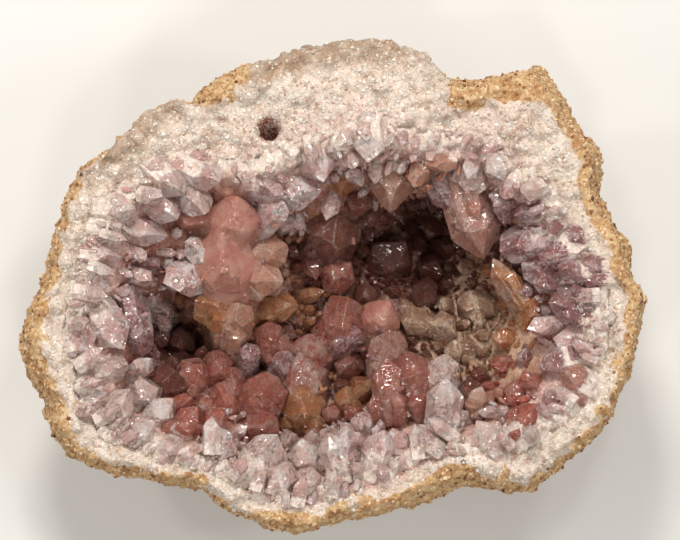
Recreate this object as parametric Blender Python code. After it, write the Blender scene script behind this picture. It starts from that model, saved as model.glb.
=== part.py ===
"""One half of a pink amethyst geode, lying on its back with its crystal-lined hollow facing up.

The rock is a bowl: a lumpy sand-coloured rind outside, a broken white quartz band round the rim,
and a hollow with two deep pockets.  The crystals that line the hollow have grown into one crust.
Lengths are written in millimetres and turned into metres by MM.  +X is the long way, +Y is the
side where the rim overhangs the large pocket, and +Z is up.
"""

import math
from dataclasses import dataclass

import bmesh
import bpy
from mathutils import Matrix, Vector, noise
from mathutils.bvhtree import BVHTree

MM = 0.001

# ---------------------------------------------------------------- driving dimensions of the rock
# Corners of the widest outline, seen from above, with the object's origin in the middle.
OUTLINE = [
    (57.5, -2.2), (56, -7.4), (55.3, -13.8), (52.4, -19.9), (50.5, -25.1), (47, -28.8), (42.1, -32.6),
    (36.2, -37.8), (30.3, -37.3), (24.8, -36.4), (18.5, -38.9), (10.3, -41.4), (2.2, -42.9),
    (-7.2, -45.2), (-14.7, -43.2), (-20.5, -40), (-24.8, -36.4), (-30.4, -36.2), (-36.8, -35.1),
    (-42.6, -33.8), (-47.7, -31.5), (-51.4, -27.1), (-52.9, -21.1), (-55.9, -16.6), (-57.4, -11.5),
    (-56.4, -5.1), (-53.5, 0), (-51.9, 6.3), (-50.5, 11.5), (-48.9, 16.5), (-46.4, 21.5), (-42, 24.2),
    (-38.7, 27.6), (-34.4, 31.5), (-29.6, 34.3), (-26, 33), (-24.1, 36.7), (-18.6, 39.7),
    (-12.5, 41.2), (-6.1, 43.4), (2.2, 45.1), (10.5, 44.5), (16.9, 42.9), (21.9, 38), (27, 38.4),
    (34.4, 39.9), (38.1, 41), (41.8, 36.7), (44.5, 30.7), (49.5, 24.8), (49.5, 17.4), (51.8, 11.5),
    (55, 7.2), (54.6, 1.7),
]
# Corners of the lip, where the white band ends and the crystals begin.
LIP = [
    (47, -3), (46, -12), (42, -21), (34, -27), (25, -29), (14, -31), (3, -35), (-8, -38), (-18, -34),
    (-27, -30), (-37, -27), (-43, -20), (-46, -10), (-45.5, 0), (-43, 8), (-38.5, 14), (-29.5, 17.5),
    (-21, 19.5), (-11.5, 21), (-2, 24), (8, 25.5), (17.5, 25), (27.5, 21.5), (35.5, 16.5), (41, 10), (45, 4),
]
# Direction in degrees, then how far the rim's crest lies inside the outline: the width of bare rind.
CREST_INSET = [
    (0, 2), (20, 6), (45, 7), (60, 5), (80, 2), (110, 2.5), (122, 4), (135, 1.5), (150, 2), (170, 3.5),
    (190, 6), (205, 5.5), (220, 3), (240, 2), (270, 2.5), (290, 4), (305, 7), (320, 4), (340, 2.5),
]
# Direction in degrees, then the height of the crest.
CREST_HEIGHT = [
    (0, 39), (25, 41), (50, 42), (75, 43.5), (105, 44), (130, 42.5), (155, 41), (180, 40), (205, 39),
    (230, 38), (260, 37), (285, 36.5), (310, 37), (335, 38),
]
BAND_DROP = 3.2  # the lip lies this far under the crest
NARROWEST_BAND = 1.8  # between the lip and the crest
WIDEST_HEIGHT = 30  # height of the outline

# Share of the outline's radius, then height, from the flat the geode rests on to just under its widest.
BACK_PROFILE = [
    (0.44, 0), (0.54, 1.3), (0.65, 4.2), (0.76, 8.8), (0.86, 15), (0.945, 22.4), (1, WIDEST_HEIGHT),
]
# How far in from the lip to the middle, then how far the floor lies under the lip.
BOWL_PROFILE = [
    (0, 0), (0.1, 3), (0.21, 7), (0.33, 10.8), (0.45, 13.6), (0.58, 15.4), (0.73, 16.2), (0.89, 16.5),
]
# Direction in degrees, then the share of the way from the lip to the crest where the crystals end.
CRUST_EDGE = [(0, 0.45), (50, 0.3), (75, 0.12), (130, 0.1), (155, 0.35), (200, 0.5), (270, 0.55), (330, 0.5)]

WIDEST_GAP = 7.15  # degrees between two corners of a ring; it gives an even number of them
LUMP_SIZE, LUMP_HEIGHT = 13, 3.6  # rounded lumps of the rind
KNOB_SIZE, KNOB_HEIGHT = 6, 1.6  # smaller knobs on them
BELLY = (55, 42)  # half length and half width that the rounder underside would have at its widest

PIT_AT = (-11.5, 27.3)  # a burrow-like hole in the white band
PIT_DEPTH, PIT_RADIUS = 6, 1.9
PIT_FOOT, PIT_MOUTH = 0.55, 1.5  # shares of its radius at its bottom and at the top of its cutter
PIT_TOP = 50

RIM_ROUGHNESS = 0.5  # share of the rind's lumps that the shoulder, the band and the hollow show
BACK_ROUGHNESS = 0.6  # share of them that lifts or lowers the underside
OVER_ALL, UNDER_ALL = 60, -10  # heights well above and well below everything

# ---------------------------------------------------------------- driving dimensions of the crust
SKIN_GAP = 0.35  # between the rock and the crust
CRUST_THICKNESS = 2.2
CRUST_EDGE_THICKNESS = 0.9
ROOT_DEPTH = 1.4  # how far a crystal's foot reaches below the rock's surface, before it is trimmed
TIP_ANGLE = math.radians(38.2)  # between a quartz crystal's axis and each face of its point
BROAD_SIDE = 90  # turns a crystal so that a side and a broad face of its point look upwards
LONGEST_CRYSTAL = 19
FOOT_TAPER = 0.92  # share of a crystal's width that is left at its foot
FILL_PLACES = 700  # tried, on a spiral, for small crystals that cover the crust between the large ones
FILL_SPACING = 4.6  # between the feet of two small crystals
FILL_CLEARANCE = 0.4  # between the side of a large crystal and the foot of a small one
FILL_WIDTH, FILL_WIDTH_SWAY = 6, 2  # of a small crystal, and how far it strays from that
FILL_RISE, FILL_RISE_SWAY, FILL_RISE_LOSS = 0.85, 0.35, 0.4  # shares of its width; the loss is at the rim
SHADED_LENGTH = 9  # of a large crystal, from its tip, that keeps small ones from standing under it
GOLDEN_ANGLE = math.radians(137.508)


@dataclass(frozen=True)
class Basin:
    """A pocket sunk into the floor of the hollow, or a mound on it when the depth is negative."""

    x: float
    y: float
    radius_x: float
    radius_y: float
    depth: float

    def drop(self, x, y):
        reach = ((x - self.x) / self.radius_x) ** 2 + ((y - self.y) / self.radius_y) ** 2
        return self.depth * math.exp(-(reach**2))


@dataclass(frozen=True)
class Crystal:
    """A large crystal by its tip, the compass heading and the tilt from upright of its point, and its width."""

    x: float
    y: float
    z: float
    heading: float
    tilt: float
    width: float

    def tip(self):
        return Vector((self.x, self.y, self.z))

    def axis(self):
        heading, tilt = math.radians(self.heading), math.radians(self.tilt)
        flat = math.sin(tilt)
        return Vector((flat * math.cos(heading), flat * math.sin(heading), math.cos(tilt)))


LARGE_POCKET = Basin(18, 7, 13, 10, 10)
BASINS = [
    LARGE_POCKET,
    Basin(26, -7, 8, 7, 5),
    Basin(-30, -8.5, 6.5, 8, 11),
    Basin(-7, -24, 3.5, 4, 5),
    Basin(-19, 5, 9, 8, -7),
]
OVERHANG = (1.5, 7)  # the large pocket's deepest points are pushed this far under the rim

CRYSTALS = [
    # West rim, pointing in over the small pocket.
    Crystal(-30, 8.5, 36, -19, 72, 7),
    Crystal(-35.5, 13, 40, -5, 70, 5.5),
    Crystal(-31.5, 3, 33, -20, 55, 5),
    Crystal(-35, -13, 33, -80, 75, 7),
    Crystal(-37.5, -12, 38, -55, 65, 7),
    Crystal(-36.5, -15, 37, 5, 70, 6),
    Crystal(-40, -1.5, 38, -30, 60, 6),
    Crystal(-40.5, -20, 38, 30, 65, 5),
    # In the small pocket.
    Crystal(-32, -11.5, 24, 80, 25, 6),
    Crystal(-27.5, -11.5, 23, 60, 30, 5),
    Crystal(-32, -6.5, 20, 45, 40, 3.5),
    # The cluster of large crystals in the north-west.
    Crystal(-17.5, 15.5, 40.5, 82, 36, 10.5),
    Crystal(-20, 9, 38.5, 95, 38, 12.5),
    Crystal(-8.5, 8, 34, 30, 55, 7),
    Crystal(-9, 0.5, 33, -20, 60, 7),
    Crystal(-13, -2.5, 31, -60, 65, 6.5),
    Crystal(-31, 0, 34, 200, 60, 7),
    Crystal(-27, 7.5, 35, 150, 55, 5.5),
    Crystal(-2, 17, 37, -5, 70, 8),
    Crystal(-9, 15, 38, 40, 45, 6),
    # Between the cluster and the large pocket.
    Crystal(-2.5, 11, 29, -5, 50, 6.5),
    Crystal(-6.5, -3, 27, 0, 60, 6),
    Crystal(-2.5, 8.5, 27, 85, 42, 6.5),
    Crystal(1.5, 14.3, 31, 62, 36, 11),
    Crystal(13, 10.5, 21, 50, 42, 10),
    Crystal(12, 5.5, 19, 20, 45, 7),
    # The middle.
    Crystal(3, -2, 28, 75, 44, 10.5),
    Crystal(10.5, -2, 27, 60, 47, 8.5),
    Crystal(-13, -6.5, 29, 110, 42, 7),
    Crystal(-4, -8.5, 28, 80, 42, 7),
    Crystal(-6, -12, 29, 100, 44, 11),
    Crystal(5, -7.5, 28.5, 40, 37, 5),
    Crystal(-8, -12, 29, 60, 47, 4.5),
    Crystal(-10, -17, 31, 48, 50, 8.5),
    Crystal(-6, -18.5, 29.5, 100, 40, 8.5),
    Crystal(2.5, -18, 28, 90, 47, 5),
    Crystal(-15, -10.5, 30, 80, 32, 4),
    Crystal(-22, -11.5, 28, 100, 42, 7),
    Crystal(-18.5, -14.5, 27, 90, 42, 7.5),
    Crystal(-25, -3.5, 32, 170, 42, 7),
    Crystal(-17.5, -3, 32.5, 80, 38, 7),
    Crystal(-22, -18, 29, 120, 47, 8),
    Crystal(-11, -23, 33, 50, 47, 7),
    Crystal(-9.5, -28, 37, 45, 65, 7),
    # South rim.
    Crystal(9.5, -8, 31, 95, 52, 9),
    Crystal(9.5, -13.5, 34, 100, 58, 7.5),
    Crystal(13, -12, 34, 110, 58, 8),
    Crystal(19.5, -12.5, 35, 95, 55, 7),
    Crystal(20.5, -17, 36, 85, 62, 6),
    Crystal(25.5, -17, 33, 80, 52, 4.5),
    Crystal(27, -18, 33, 70, 52, 5.5),
    Crystal(33.5, -17, 33, 85, 48, 7.5),
    Crystal(38.5, -19, 36.5, 120, 50, 5.5),
    Crystal(36, -21.5, 37, 60, 65, 5),
    Crystal(2.5, -25.5, 36, 80, 65, 6),
    Crystal(-1, -27, 37, 110, 65, 5),
    Crystal(9.5, -26.5, 37, 70, 65, 5),
    # East rim, with its stained crystals.
    Crystal(37, -15, 36, 195, 70, 7.5),
    Crystal(29, 5, 32, 125, 72, 5.5),
    Crystal(34.5, -8, 31, 235, 70, 6.5),
    Crystal(34, 3, 36, 170, 60, 6),
    Crystal(30, 6, 36, 200, 68, 8),
    Crystal(37.5, 3.5, 38, 215, 62, 9),
    Crystal(39, -3.5, 37, 180, 60, 7),
    Crystal(39.5, -10, 37, 170, 62, 6),
    # North rim, hanging over the large pocket.
    Crystal(27.5, 5, 33, -75, 84, 9.5),
    Crystal(21, 13.5, 33, -80, 80, 7),
    Crystal(19.5, 18.5, 35, -30, 80, 6),
    Crystal(25, 15.5, 37, -95, 75, 6.5),
    Crystal(31, 11, 36, -100, 70, 4.5),
    Crystal(10.5, 13.5, 33, -92, 86, 9),
    Crystal(1.5, 16, 33, -92, 86, 6),
    Crystal(5.5, 18, 35, -62, 80, 6),
    Crystal(17, 18, 34, -78, 86, 6.5),
    # On the floor of the large pocket.
    Crystal(25, -9.5, 24, 90, 32, 5),
    Crystal(25.5, 0, 24, 100, 32, 5.5),
    Crystal(31, -11.5, 26.5, 110, 30, 5),
]


# ---------------------------------------------------------------- curves round the rock
def between(stops, at):
    """The value at a place along sorted (place, value) stops, in straight stretches."""
    for (start, low), (end, high) in zip(stops, stops[1:]):
        if at <= end:
            return low + (high - low) * (at - start) / (end - start)
    return stops[-1][1]


def closed(stops):
    """(degrees, value) stops carried on past 0 and 360, so that they close."""
    stops = sorted(stops)
    first, last = stops[0], stops[-1]
    return [(last[0] - 360, last[1]), *stops, (first[0] + 360, first[1])]


def polar(corners):
    """Corners (x, y) of an outline as closed (degrees, radius) stops."""
    return closed([(math.degrees(math.atan2(y, x)) % 360, math.hypot(x, y)) for x, y in corners])


OUTLINE_RADIUS = polar(OUTLINE)
LIP_RADIUS = polar(LIP)
INSET = closed(CREST_INSET)
HEIGHT = closed(CREST_HEIGHT)
EDGE = closed(CRUST_EDGE)
MIDDLE_HEIGHT = sum(value for _, value in CREST_HEIGHT) / len(CREST_HEIGHT)


def ring_directions():
    """The directions of the outline's corners, with one more in the middle of every wide gap."""
    stops = [degrees for degrees, _ in OUTLINE_RADIUS[:-1]]
    chosen = []
    for here, ahead in zip(stops, [*stops[1:], stops[1] + 360]):
        if ahead - here > WIDEST_GAP:
            chosen.append((here + ahead) / 2)
        chosen.append(ahead)
    return sorted({round(degrees % 360, 4) for degrees in chosen})


FINE = ring_directions()
COARSE = FINE[::2]  # enough where crystals cover the rock


def lumps(point):
    """How far the rind's lumps and knobs stand out at a point."""
    return LUMP_HEIGHT * noise.noise(point / LUMP_SIZE) + KNOB_HEIGHT * noise.noise(point / KNOB_SIZE)


def floor_under_lip(x, y, share_in):
    """Depth of the hollow's floor under the lip, at a share of the way in from the lip."""
    fade = min(1, share_in / BOWL_PROFILE[3][0])
    return between(BOWL_PROFILE, share_in) + fade * sum(basin.drop(x, y) for basin in BASINS)


# ---------------------------------------------------------------- points of the rock's surface
def along(degrees, radius, height):
    angle = math.radians(degrees)
    return Vector((radius * math.cos(angle), radius * math.sin(angle), height))


def back_point(degrees, share, height):
    """On the rind below its widest outline; lumpy except where the geode rests."""
    across, deep = math.cos(math.radians(degrees)) / BELLY[0], math.sin(math.radians(degrees)) / BELLY[1]
    rounder = min(1, (1 - share) * 2.5)
    radius = between(OUTLINE_RADIUS, degrees) * (1 - rounder) + rounder / math.hypot(across, deep)
    point = along(degrees, radius * share, height)
    rough = min(1, height / 6) * min(1, 0.15 + (1 - share) * 10)
    point += along(degrees, lumps(point) * rough, 0)
    if height > 0:
        point.z = max(0.2, point.z + BACK_ROUGHNESS * rough * lumps(point + Vector((40, 0, 0))))
    return point


def crest_radius(degrees):
    """Distance from the middle to the crest of the rim."""
    bare = between(OUTLINE_RADIUS, degrees) - between(INSET, degrees)
    return max(bare, between(LIP_RADIUS, degrees) + NARROWEST_BAND)


def shoulder_point(degrees, share):
    """Between the widest outline (share 0) and the crest of the rim (share 1)."""
    outline = between(OUTLINE_RADIUS, degrees)
    radius = outline - (outline - crest_radius(degrees)) * share**1.5
    rise = between(HEIGHT, degrees) - WIDEST_HEIGHT
    point = along(degrees, radius, WIDEST_HEIGHT + rise * math.sin(share * math.pi / 2))
    point.z += RIM_ROUGHNESS * share * lumps(point)
    return point


def band_point(degrees, share):
    """On the broken white band, between the lip (share 0) and the crest (share 1)."""
    lip = between(LIP_RADIUS, degrees)
    height = between(HEIGHT, degrees) - BAND_DROP * (1 - share) ** 1.3
    point = along(degrees, lip + (crest_radius(degrees) - lip) * share, height)
    point.z += RIM_ROUGHNESS * lumps(point)
    return point


def bowl_point(degrees, share_in):
    """In the hollow, from the lip (share 0) to the middle (share 1), pushed under the rim."""
    point = along(degrees, between(LIP_RADIUS, degrees) * (1 - share_in), 0)
    under = max(0, LARGE_POCKET.drop(point.x, point.y) / LARGE_POCKET.depth)
    # The rim's height counts for less and less towards the middle, where all directions meet.
    rim = between(HEIGHT, degrees) * (1 - share_in) + MIDDLE_HEIGHT * share_in
    point.z = rim - BAND_DROP - floor_under_lip(point.x, point.y, share_in)
    point.z += RIM_ROUGHNESS * lumps(point)
    return point + Vector(OVERHANG + (0,)) * under


# ---------------------------------------------------------------- rings of points
def hollow_rings():
    """The rings from the crest, over the band and down to the middle of the hollow."""
    crest = [band_point(degrees, 1) for degrees in FINE]
    band = [band_point(degrees, (1 + between(EDGE, degrees)) / 2) for degrees in FINE]
    edge = [band_point(degrees, between(EDGE, degrees)) for degrees in FINE]
    lip = [band_point(degrees, 0) for degrees in FINE]
    bowl = [[bowl_point(degrees, share) for degrees in COARSE] for share, _ in BOWL_PROFILE[1:]]
    return [crest, band, edge, lip, *bowl]


def pushed(rings, distances):
    """The hollow's rings moved off the rock's surface, each by its own distance along the normals."""
    moved = []
    for i, (ring, distance) in enumerate(zip(rings, distances)):
        outer, inner = rings[max(0, i - 1)], rings[min(len(rings) - 1, i + 1)]
        row = []
        for k, point in enumerate(ring):
            across = ring[(k + 1) % len(ring)] - ring[k - 1]
            outwards = outer[k * len(outer) // len(ring)] - inner[k * len(inner) // len(ring)]
            row.append(point - across.cross(outwards).normalized() * distance)
        moved.append(row)
    return moved


def middle_of(ring):
    return sum(ring, Vector()) / len(ring)


# ---------------------------------------------------------------- solids from rings
def solid(name, rings, first_pole, last_pole):
    """A closed mesh object through rings of points in millimetres, with a pole at either end."""
    bm = bmesh.new()
    rows = [[bm.verts.new(point * MM) for point in ring] for ring in rings]
    for row, following in zip(rows, rows[1:]):
        join(bm, row, following)
    for row, pole in ((rows[0], first_pole), (rows[-1], last_pole)):
        tip = bm.verts.new(pole * MM)
        for k in range(len(row)):
            bm.faces.new((row[k], row[(k + 1) % len(row)], tip))
    bmesh.ops.recalc_face_normals(bm, faces=bm.faces)
    return mesh_object(name, bm)


def join(bm, row, following):
    """Fills in between two rings with triangles, where the first has as many corners or twice as many."""
    step = len(row) // len(following)
    for k in range(len(following)):
        near, far = following[k], following[(k + 1) % len(following)]
        first, last = row[k * step], row[(k + 1) * step % len(row)]
        if step == 2:
            middle = row[k * step + 1]
            bm.faces.new((first, middle, near))
            first = middle
        bm.faces.new((first, last, far))
        bm.faces.new((first, far, near))


def mesh_object(name, bm):
    mesh = bpy.data.meshes.new(name)
    bm.to_mesh(mesh)
    bm.free()
    made = bpy.data.objects.new(name, mesh)
    bpy.context.scene.collection.objects.link(made)
    return made


def helper(made):
    """Marks an object that only shapes another one."""
    made.hide_render = True
    made.display_type = "WIRE"
    return made


def rock():
    """The rind, the broken band and the hollow as one solid, with the small pit in the band."""
    back = [[back_point(degrees, *stop) for degrees in FINE] for stop in BACK_PROFILE]
    shoulder = [[shoulder_point(degrees, share) for degrees in FINE] for share in (0.35, 0.7)]
    hollow = hollow_rings()
    made = solid("geode_shell", [*back, *shoulder, *hollow], Vector(), middle_of(hollow[-1]))
    combine(made, "DIFFERENCE", pit())
    return made


def pit():
    """A round cutter that narrows downwards from above the band."""
    bm = bmesh.new()
    bottom = between(HEIGHT, math.degrees(math.atan2(PIT_AT[1], PIT_AT[0]))) - BAND_DROP - PIT_DEPTH
    bmesh.ops.create_cone(
        bm, cap_ends=True, segments=9, depth=(PIT_TOP - bottom) * MM,
        radius1=PIT_RADIUS * PIT_FOOT * MM, radius2=PIT_RADIUS * PIT_MOUTH * MM,
        matrix=Matrix.Translation(Vector((*PIT_AT, (PIT_TOP + bottom) / 2)) * MM),
    )  # fmt: skip
    return helper(mesh_object("pit_cutter", bm))


# ---------------------------------------------------------------- the crystals
def quartz(bm, tip, axis, length, width, setback=0.0):
    """Adds a six-sided prism with a six-faced point.

    Every other face of the point can lie further back, and at a setback of 1 only three are left.
    """
    made = bmesh.new()
    radius = width / 2
    bmesh.ops.create_cone(
        made, cap_ends=True, segments=6, depth=length, radius1=radius * FOOT_TAPER, radius2=radius,
        matrix=Matrix.Translation((0, 0, -length / 2)) @ Matrix.Rotation(math.radians(BROAD_SIDE), 4, "Z"),
    )  # fmt: skip
    for k in range(0, 6, 2 if setback == 1 else 1):
        normal = along(60 * k + BROAD_SIDE, math.cos(TIP_ANGLE), math.sin(TIP_ANGLE))
        cut = bmesh.ops.bisect_plane(
            made, geom=[*made.verts, *made.edges, *made.faces], dist=1e-5, clear_outer=True,
            plane_co=(0, 0, setback * radius if k % 2 else 0), plane_no=normal,
        )  # fmt: skip
        rim = [edge for edge in cut["geom_cut"] if isinstance(edge, bmesh.types.BMEdge)]
        bmesh.ops.contextual_create(made, geom=rim)
    turn = axis.to_track_quat("Z", "Y").to_matrix().to_4x4()
    bmesh.ops.transform(made, matrix=Matrix.Translation(tip) @ turn, verts=made.verts)
    bmesh.ops.scale(made, vec=(MM, MM, MM), verts=made.verts)
    passing = bpy.data.meshes.new("crystal")
    made.to_mesh(passing)
    made.free()
    bm.from_mesh(passing)
    bpy.data.meshes.remove(passing)


def surface_tree(surface):
    """An object's surface in millimetres, for finding where a crystal stands on it."""
    points = [vertex.co / MM for vertex in surface.data.vertices]
    return BVHTree.FromPolygons(points, [tuple(face.vertices) for face in surface.data.polygons])


def add_large_crystals(bm, rock_surface):
    """Adds the crystals of the list, each rooted where the line back from its tip meets the rock."""
    for number, crystal in enumerate(CRYSTALS):
        tip, axis = crystal.tip(), crystal.axis()
        hit, _, _, distance = rock_surface.ray_cast(tip, -axis, LONGEST_CRYSTAL)
        length = distance if hit else LONGEST_CRYSTAL
        setback = (0, 0.4, 1)[number % 3] if crystal.width > 7 else number % 2
        quartz(bm, tip, axis, length + ROOT_DEPTH, crystal.width, setback)


def beside_large_crystal(foot):
    """True where a large crystal would hide a small one."""
    for crystal in CRYSTALS:
        back, slope = (crystal.tip() - foot).xy, crystal.axis().xy
        reach = min(max(back.dot(slope) / slope.length_squared, 0), SHADED_LENGTH)
        if (back - slope * reach).length < crystal.width / 2 + FILL_CLEARANCE:
            return True
    return False


def add_small_crystals(bm, rock_surface):
    """Covers the rest of the crust with short crystals that lean in more the nearer they are to the rim."""
    feet = []
    for k in range(FILL_PLACES):
        degrees = math.degrees(k * GOLDEN_ANGLE) % 360
        lip = between(LIP_RADIUS, degrees)
        outermost = lip + (crest_radius(degrees) - lip) * between(EDGE, degrees) * 0.8 - 1
        share = math.sqrt((k + 0.5) / FILL_PLACES)
        above = along(degrees, outermost * share, OVER_ALL)
        foot, normal, _, _ = rock_surface.ray_cast(above, Vector((0, 0, -1)))
        if beside_large_crystal(foot) or any((foot - other).length < FILL_SPACING for other in feet):
            continue
        feet.append(foot)
        inward = along(degrees, -(share**2), 0.9 - 0.6 * share**3)
        axis = (normal * 0.5 + inward + noise.noise_vector(foot) * 0.5).normalized()
        width = FILL_WIDTH + FILL_WIDTH_SWAY * noise.noise(foot / FILL_WIDTH)
        rise = FILL_RISE - FILL_RISE_LOSS * share + FILL_RISE_SWAY * noise.noise(foot / FILL_SPACING)
        length = CRUST_THICKNESS + width * rise
        quartz(bm, foot + axis * length, axis, length + ROOT_DEPTH, width)


# ---------------------------------------------------------------- the crust
def crust_skin(rings):
    """The sheet that joins the crystals' feet, as a block that reaches far down into the rock."""
    rings = [ring if len(ring) == len(COARSE) else ring[::2] for ring in rings[2:]]
    rings = [*rings[:2], *rings[2::2]]
    top = pushed(rings, [CRUST_EDGE_THICKNESS, *[CRUST_THICKNESS] * (len(rings) - 1)])
    base = [Vector((point.x, point.y, UNDER_ALL)) for point in top[0]]
    return solid("crystal_crust", [base, *top], Vector((0, 0, UNDER_ALL)), middle_of(top[-1]))


def crust():
    """The skin with every crystal fused to it, trimmed to the open space over the rock."""
    rings = hollow_rings()
    lifted = pushed(rings, [SKIN_GAP] * len(rings))
    lid = [Vector((point.x, point.y, OVER_ALL)) for point in lifted[0]]
    space = helper(solid("open_space", [lid, *lifted], Vector((0, 0, OVER_ALL)), middle_of(lifted[-1])))
    floor = solid("floor", rings, Vector((0, 0, UNDER_ALL)), middle_of(rings[-1]))
    rock_surface = surface_tree(floor)
    bpy.data.objects.remove(floor)
    bm = bmesh.new()
    add_large_crystals(bm, rock_surface)
    add_small_crystals(bm, rock_surface)
    crystals = helper(mesh_object("crystals", bm))
    made = crust_skin(rings)
    combine(made, "UNION", crystals)
    combine(made, "INTERSECT", space)
    return made


def combine(made, operation, other):
    boolean = made.modifiers.new(operation.lower(), "BOOLEAN")
    boolean.operation = operation
    boolean.solver = "EXACT"
    boolean.object = other
    boolean.use_self = operation != "DIFFERENCE"  # crystals run through one another


def settle(made):
    """Applies an object's modifiers, drops specks shut in between crystals and joins flat faces."""
    shape = made.evaluated_get(bpy.context.evaluated_depsgraph_get())
    bm = bmesh.new()
    bm.from_mesh(shape.to_mesh())
    largest = max(bodies(bm), key=len)
    bmesh.ops.delete(bm, geom=[corner for corner in bm.verts if corner not in largest])
    bmesh.ops.dissolve_limit(bm, angle_limit=math.radians(0.05), verts=bm.verts, edges=bm.edges)
    made.modifiers.clear()
    bm.to_mesh(made.data)
    bm.free()


def bodies(bm):
    """The corners of each separate body of a mesh."""
    left = set(bm.verts)
    found = []
    while left:
        body, edge_of_it = set(), [left.pop()]
        while edge_of_it:
            corner = edge_of_it.pop()
            body.add(corner)
            around = {edge.other_vert(corner) for edge in corner.link_edges} & left
            left -= around
            edge_of_it.extend(around)
        found.append(body)
    return found


def finish(made, name, colour, roughness):
    """Gives an object its own plain material."""
    material = bpy.data.materials.new(name)
    material.use_nodes = True
    shader = material.node_tree.nodes["Principled BSDF"]
    shader.inputs["Base Color"].default_value = (*colour, 1)
    shader.inputs["Roughness"].default_value = roughness
    made.data.materials.append(material)


def main():
    for left_over in list(bpy.data.objects):
        bpy.data.objects.remove(left_over)
    finish(rock(), "sandy_rind_and_white_quartz", (0.72, 0.6, 0.45), 0.9)
    crystals = crust()
    settle(crystals)
    finish(crystals, "pink_amethyst", (0.74, 0.45, 0.44), 0.2)


main()
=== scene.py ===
"""Dresses the pink amethyst geode: its sandy rind, white quartz band and crystal-lined hollow.

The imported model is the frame.  The rock is a finer carving of the model's own shell.  The large
crystals stand exactly where the model's crust has them: each tip on the crust is found by the angle
that quartz faces make with one another.  Smaller crystals, druse and grains then fill the gaps.
"""

from __future__ import annotations

import logging
import math
from dataclasses import dataclass, field
from enum import Enum
from typing import Any, Callable, Sequence

import bmesh
import bpy
import numpy as np
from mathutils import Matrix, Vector, noise
from mathutils.bvhtree import BVHTree
from mathutils.kdtree import KDTree

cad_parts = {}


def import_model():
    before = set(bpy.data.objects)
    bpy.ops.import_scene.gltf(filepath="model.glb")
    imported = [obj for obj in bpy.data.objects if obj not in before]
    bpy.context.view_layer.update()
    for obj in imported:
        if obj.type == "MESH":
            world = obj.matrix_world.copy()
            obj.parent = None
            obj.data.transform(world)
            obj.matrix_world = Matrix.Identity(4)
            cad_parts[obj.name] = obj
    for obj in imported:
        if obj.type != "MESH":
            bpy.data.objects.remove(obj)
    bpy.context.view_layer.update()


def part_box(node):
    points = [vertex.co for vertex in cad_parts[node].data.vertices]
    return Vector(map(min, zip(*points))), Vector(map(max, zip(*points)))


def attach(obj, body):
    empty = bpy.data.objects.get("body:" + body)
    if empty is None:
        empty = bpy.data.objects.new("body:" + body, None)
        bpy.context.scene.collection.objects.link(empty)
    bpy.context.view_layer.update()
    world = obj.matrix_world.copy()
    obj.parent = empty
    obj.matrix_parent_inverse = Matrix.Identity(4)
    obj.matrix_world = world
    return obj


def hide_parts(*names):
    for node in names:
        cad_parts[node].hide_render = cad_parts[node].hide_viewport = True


MM = 0.001
BODY = "root"
SHELL_NODE = "geode_shell"
CRUST_NODE = "crystal_crust"
ROCK_SLOT = "rind_and_wall"
CRYSTAL_SLOT = "pink_amethyst"
QUARTZ_IOR = 1.544
POINT_SLOPE = math.radians(38.2)  # how steeply the faces of a crystal's point lean in
SHARP_SLOPE = math.radians(33)
FULL_TURN = 2 * math.pi

Colour = tuple[float, float, float]
LOG = logging.getLogger("geode")


class Tone(Enum):
    """The colours that the crystals come in."""

    LILAC = "lilac"
    CLEAR = "clear"
    ROSE = "rose"
    # a dark tone that paints shade on the crystals in the shaded hollows and low down
    SMOKY = "smoky"
    SALMON = "salmon"
    PEACH = "peach"
    OCHRE = "ochre"
    MAUVE = "mauve"
    CREAM = "cream"
    BLUSH = "blush"


PIT = (-11.5 * MM, 27.6 * MM)  # the middle of a burrow-like hole in the white band
PIT_ROOM = 3.2 * MM  # how far from its middle crystals keep away
PIT_FLOOR = 36 * MM
# Direction in degrees, then how wide the bare rind looks from above, in millimetres.
RIND_WIDTH = [
    (0, 4.5), (15, 5), (28, 6), (34, 5), (38, 4.5), (41, 5.5), (44, 9), (46.5, 12), (50, 11.5), (54, 9.5),
    (57, 7), (59.5, 3), (62, -2.5), (80, -4), (108, -3.5), (112, 4), (115, 5.5), (121, 6.5), (126, 4),
    (129, 1.2), (150, 1.2), (158, 2), (172, 2.8), (185, 5), (197, 5.5), (208, 4), (220, 3.5), (232, 2.8),
    (243, 1.2), (256, 2.6), (275, 3), (288, 4), (297, 6), (306, 5.5), (316, 2.4), (335, 2.2), (348, 3),
]  # fmt: skip

# Direction in degrees, then how grey and brown the outer part of the white band is, from 0 to 1.
WEATHERING = [(0, 0), (62, 0), (74, 0.7), (100, 1), (128, 0.6), (150, 0.8), (162, 0.2), (180, 0)]

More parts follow.
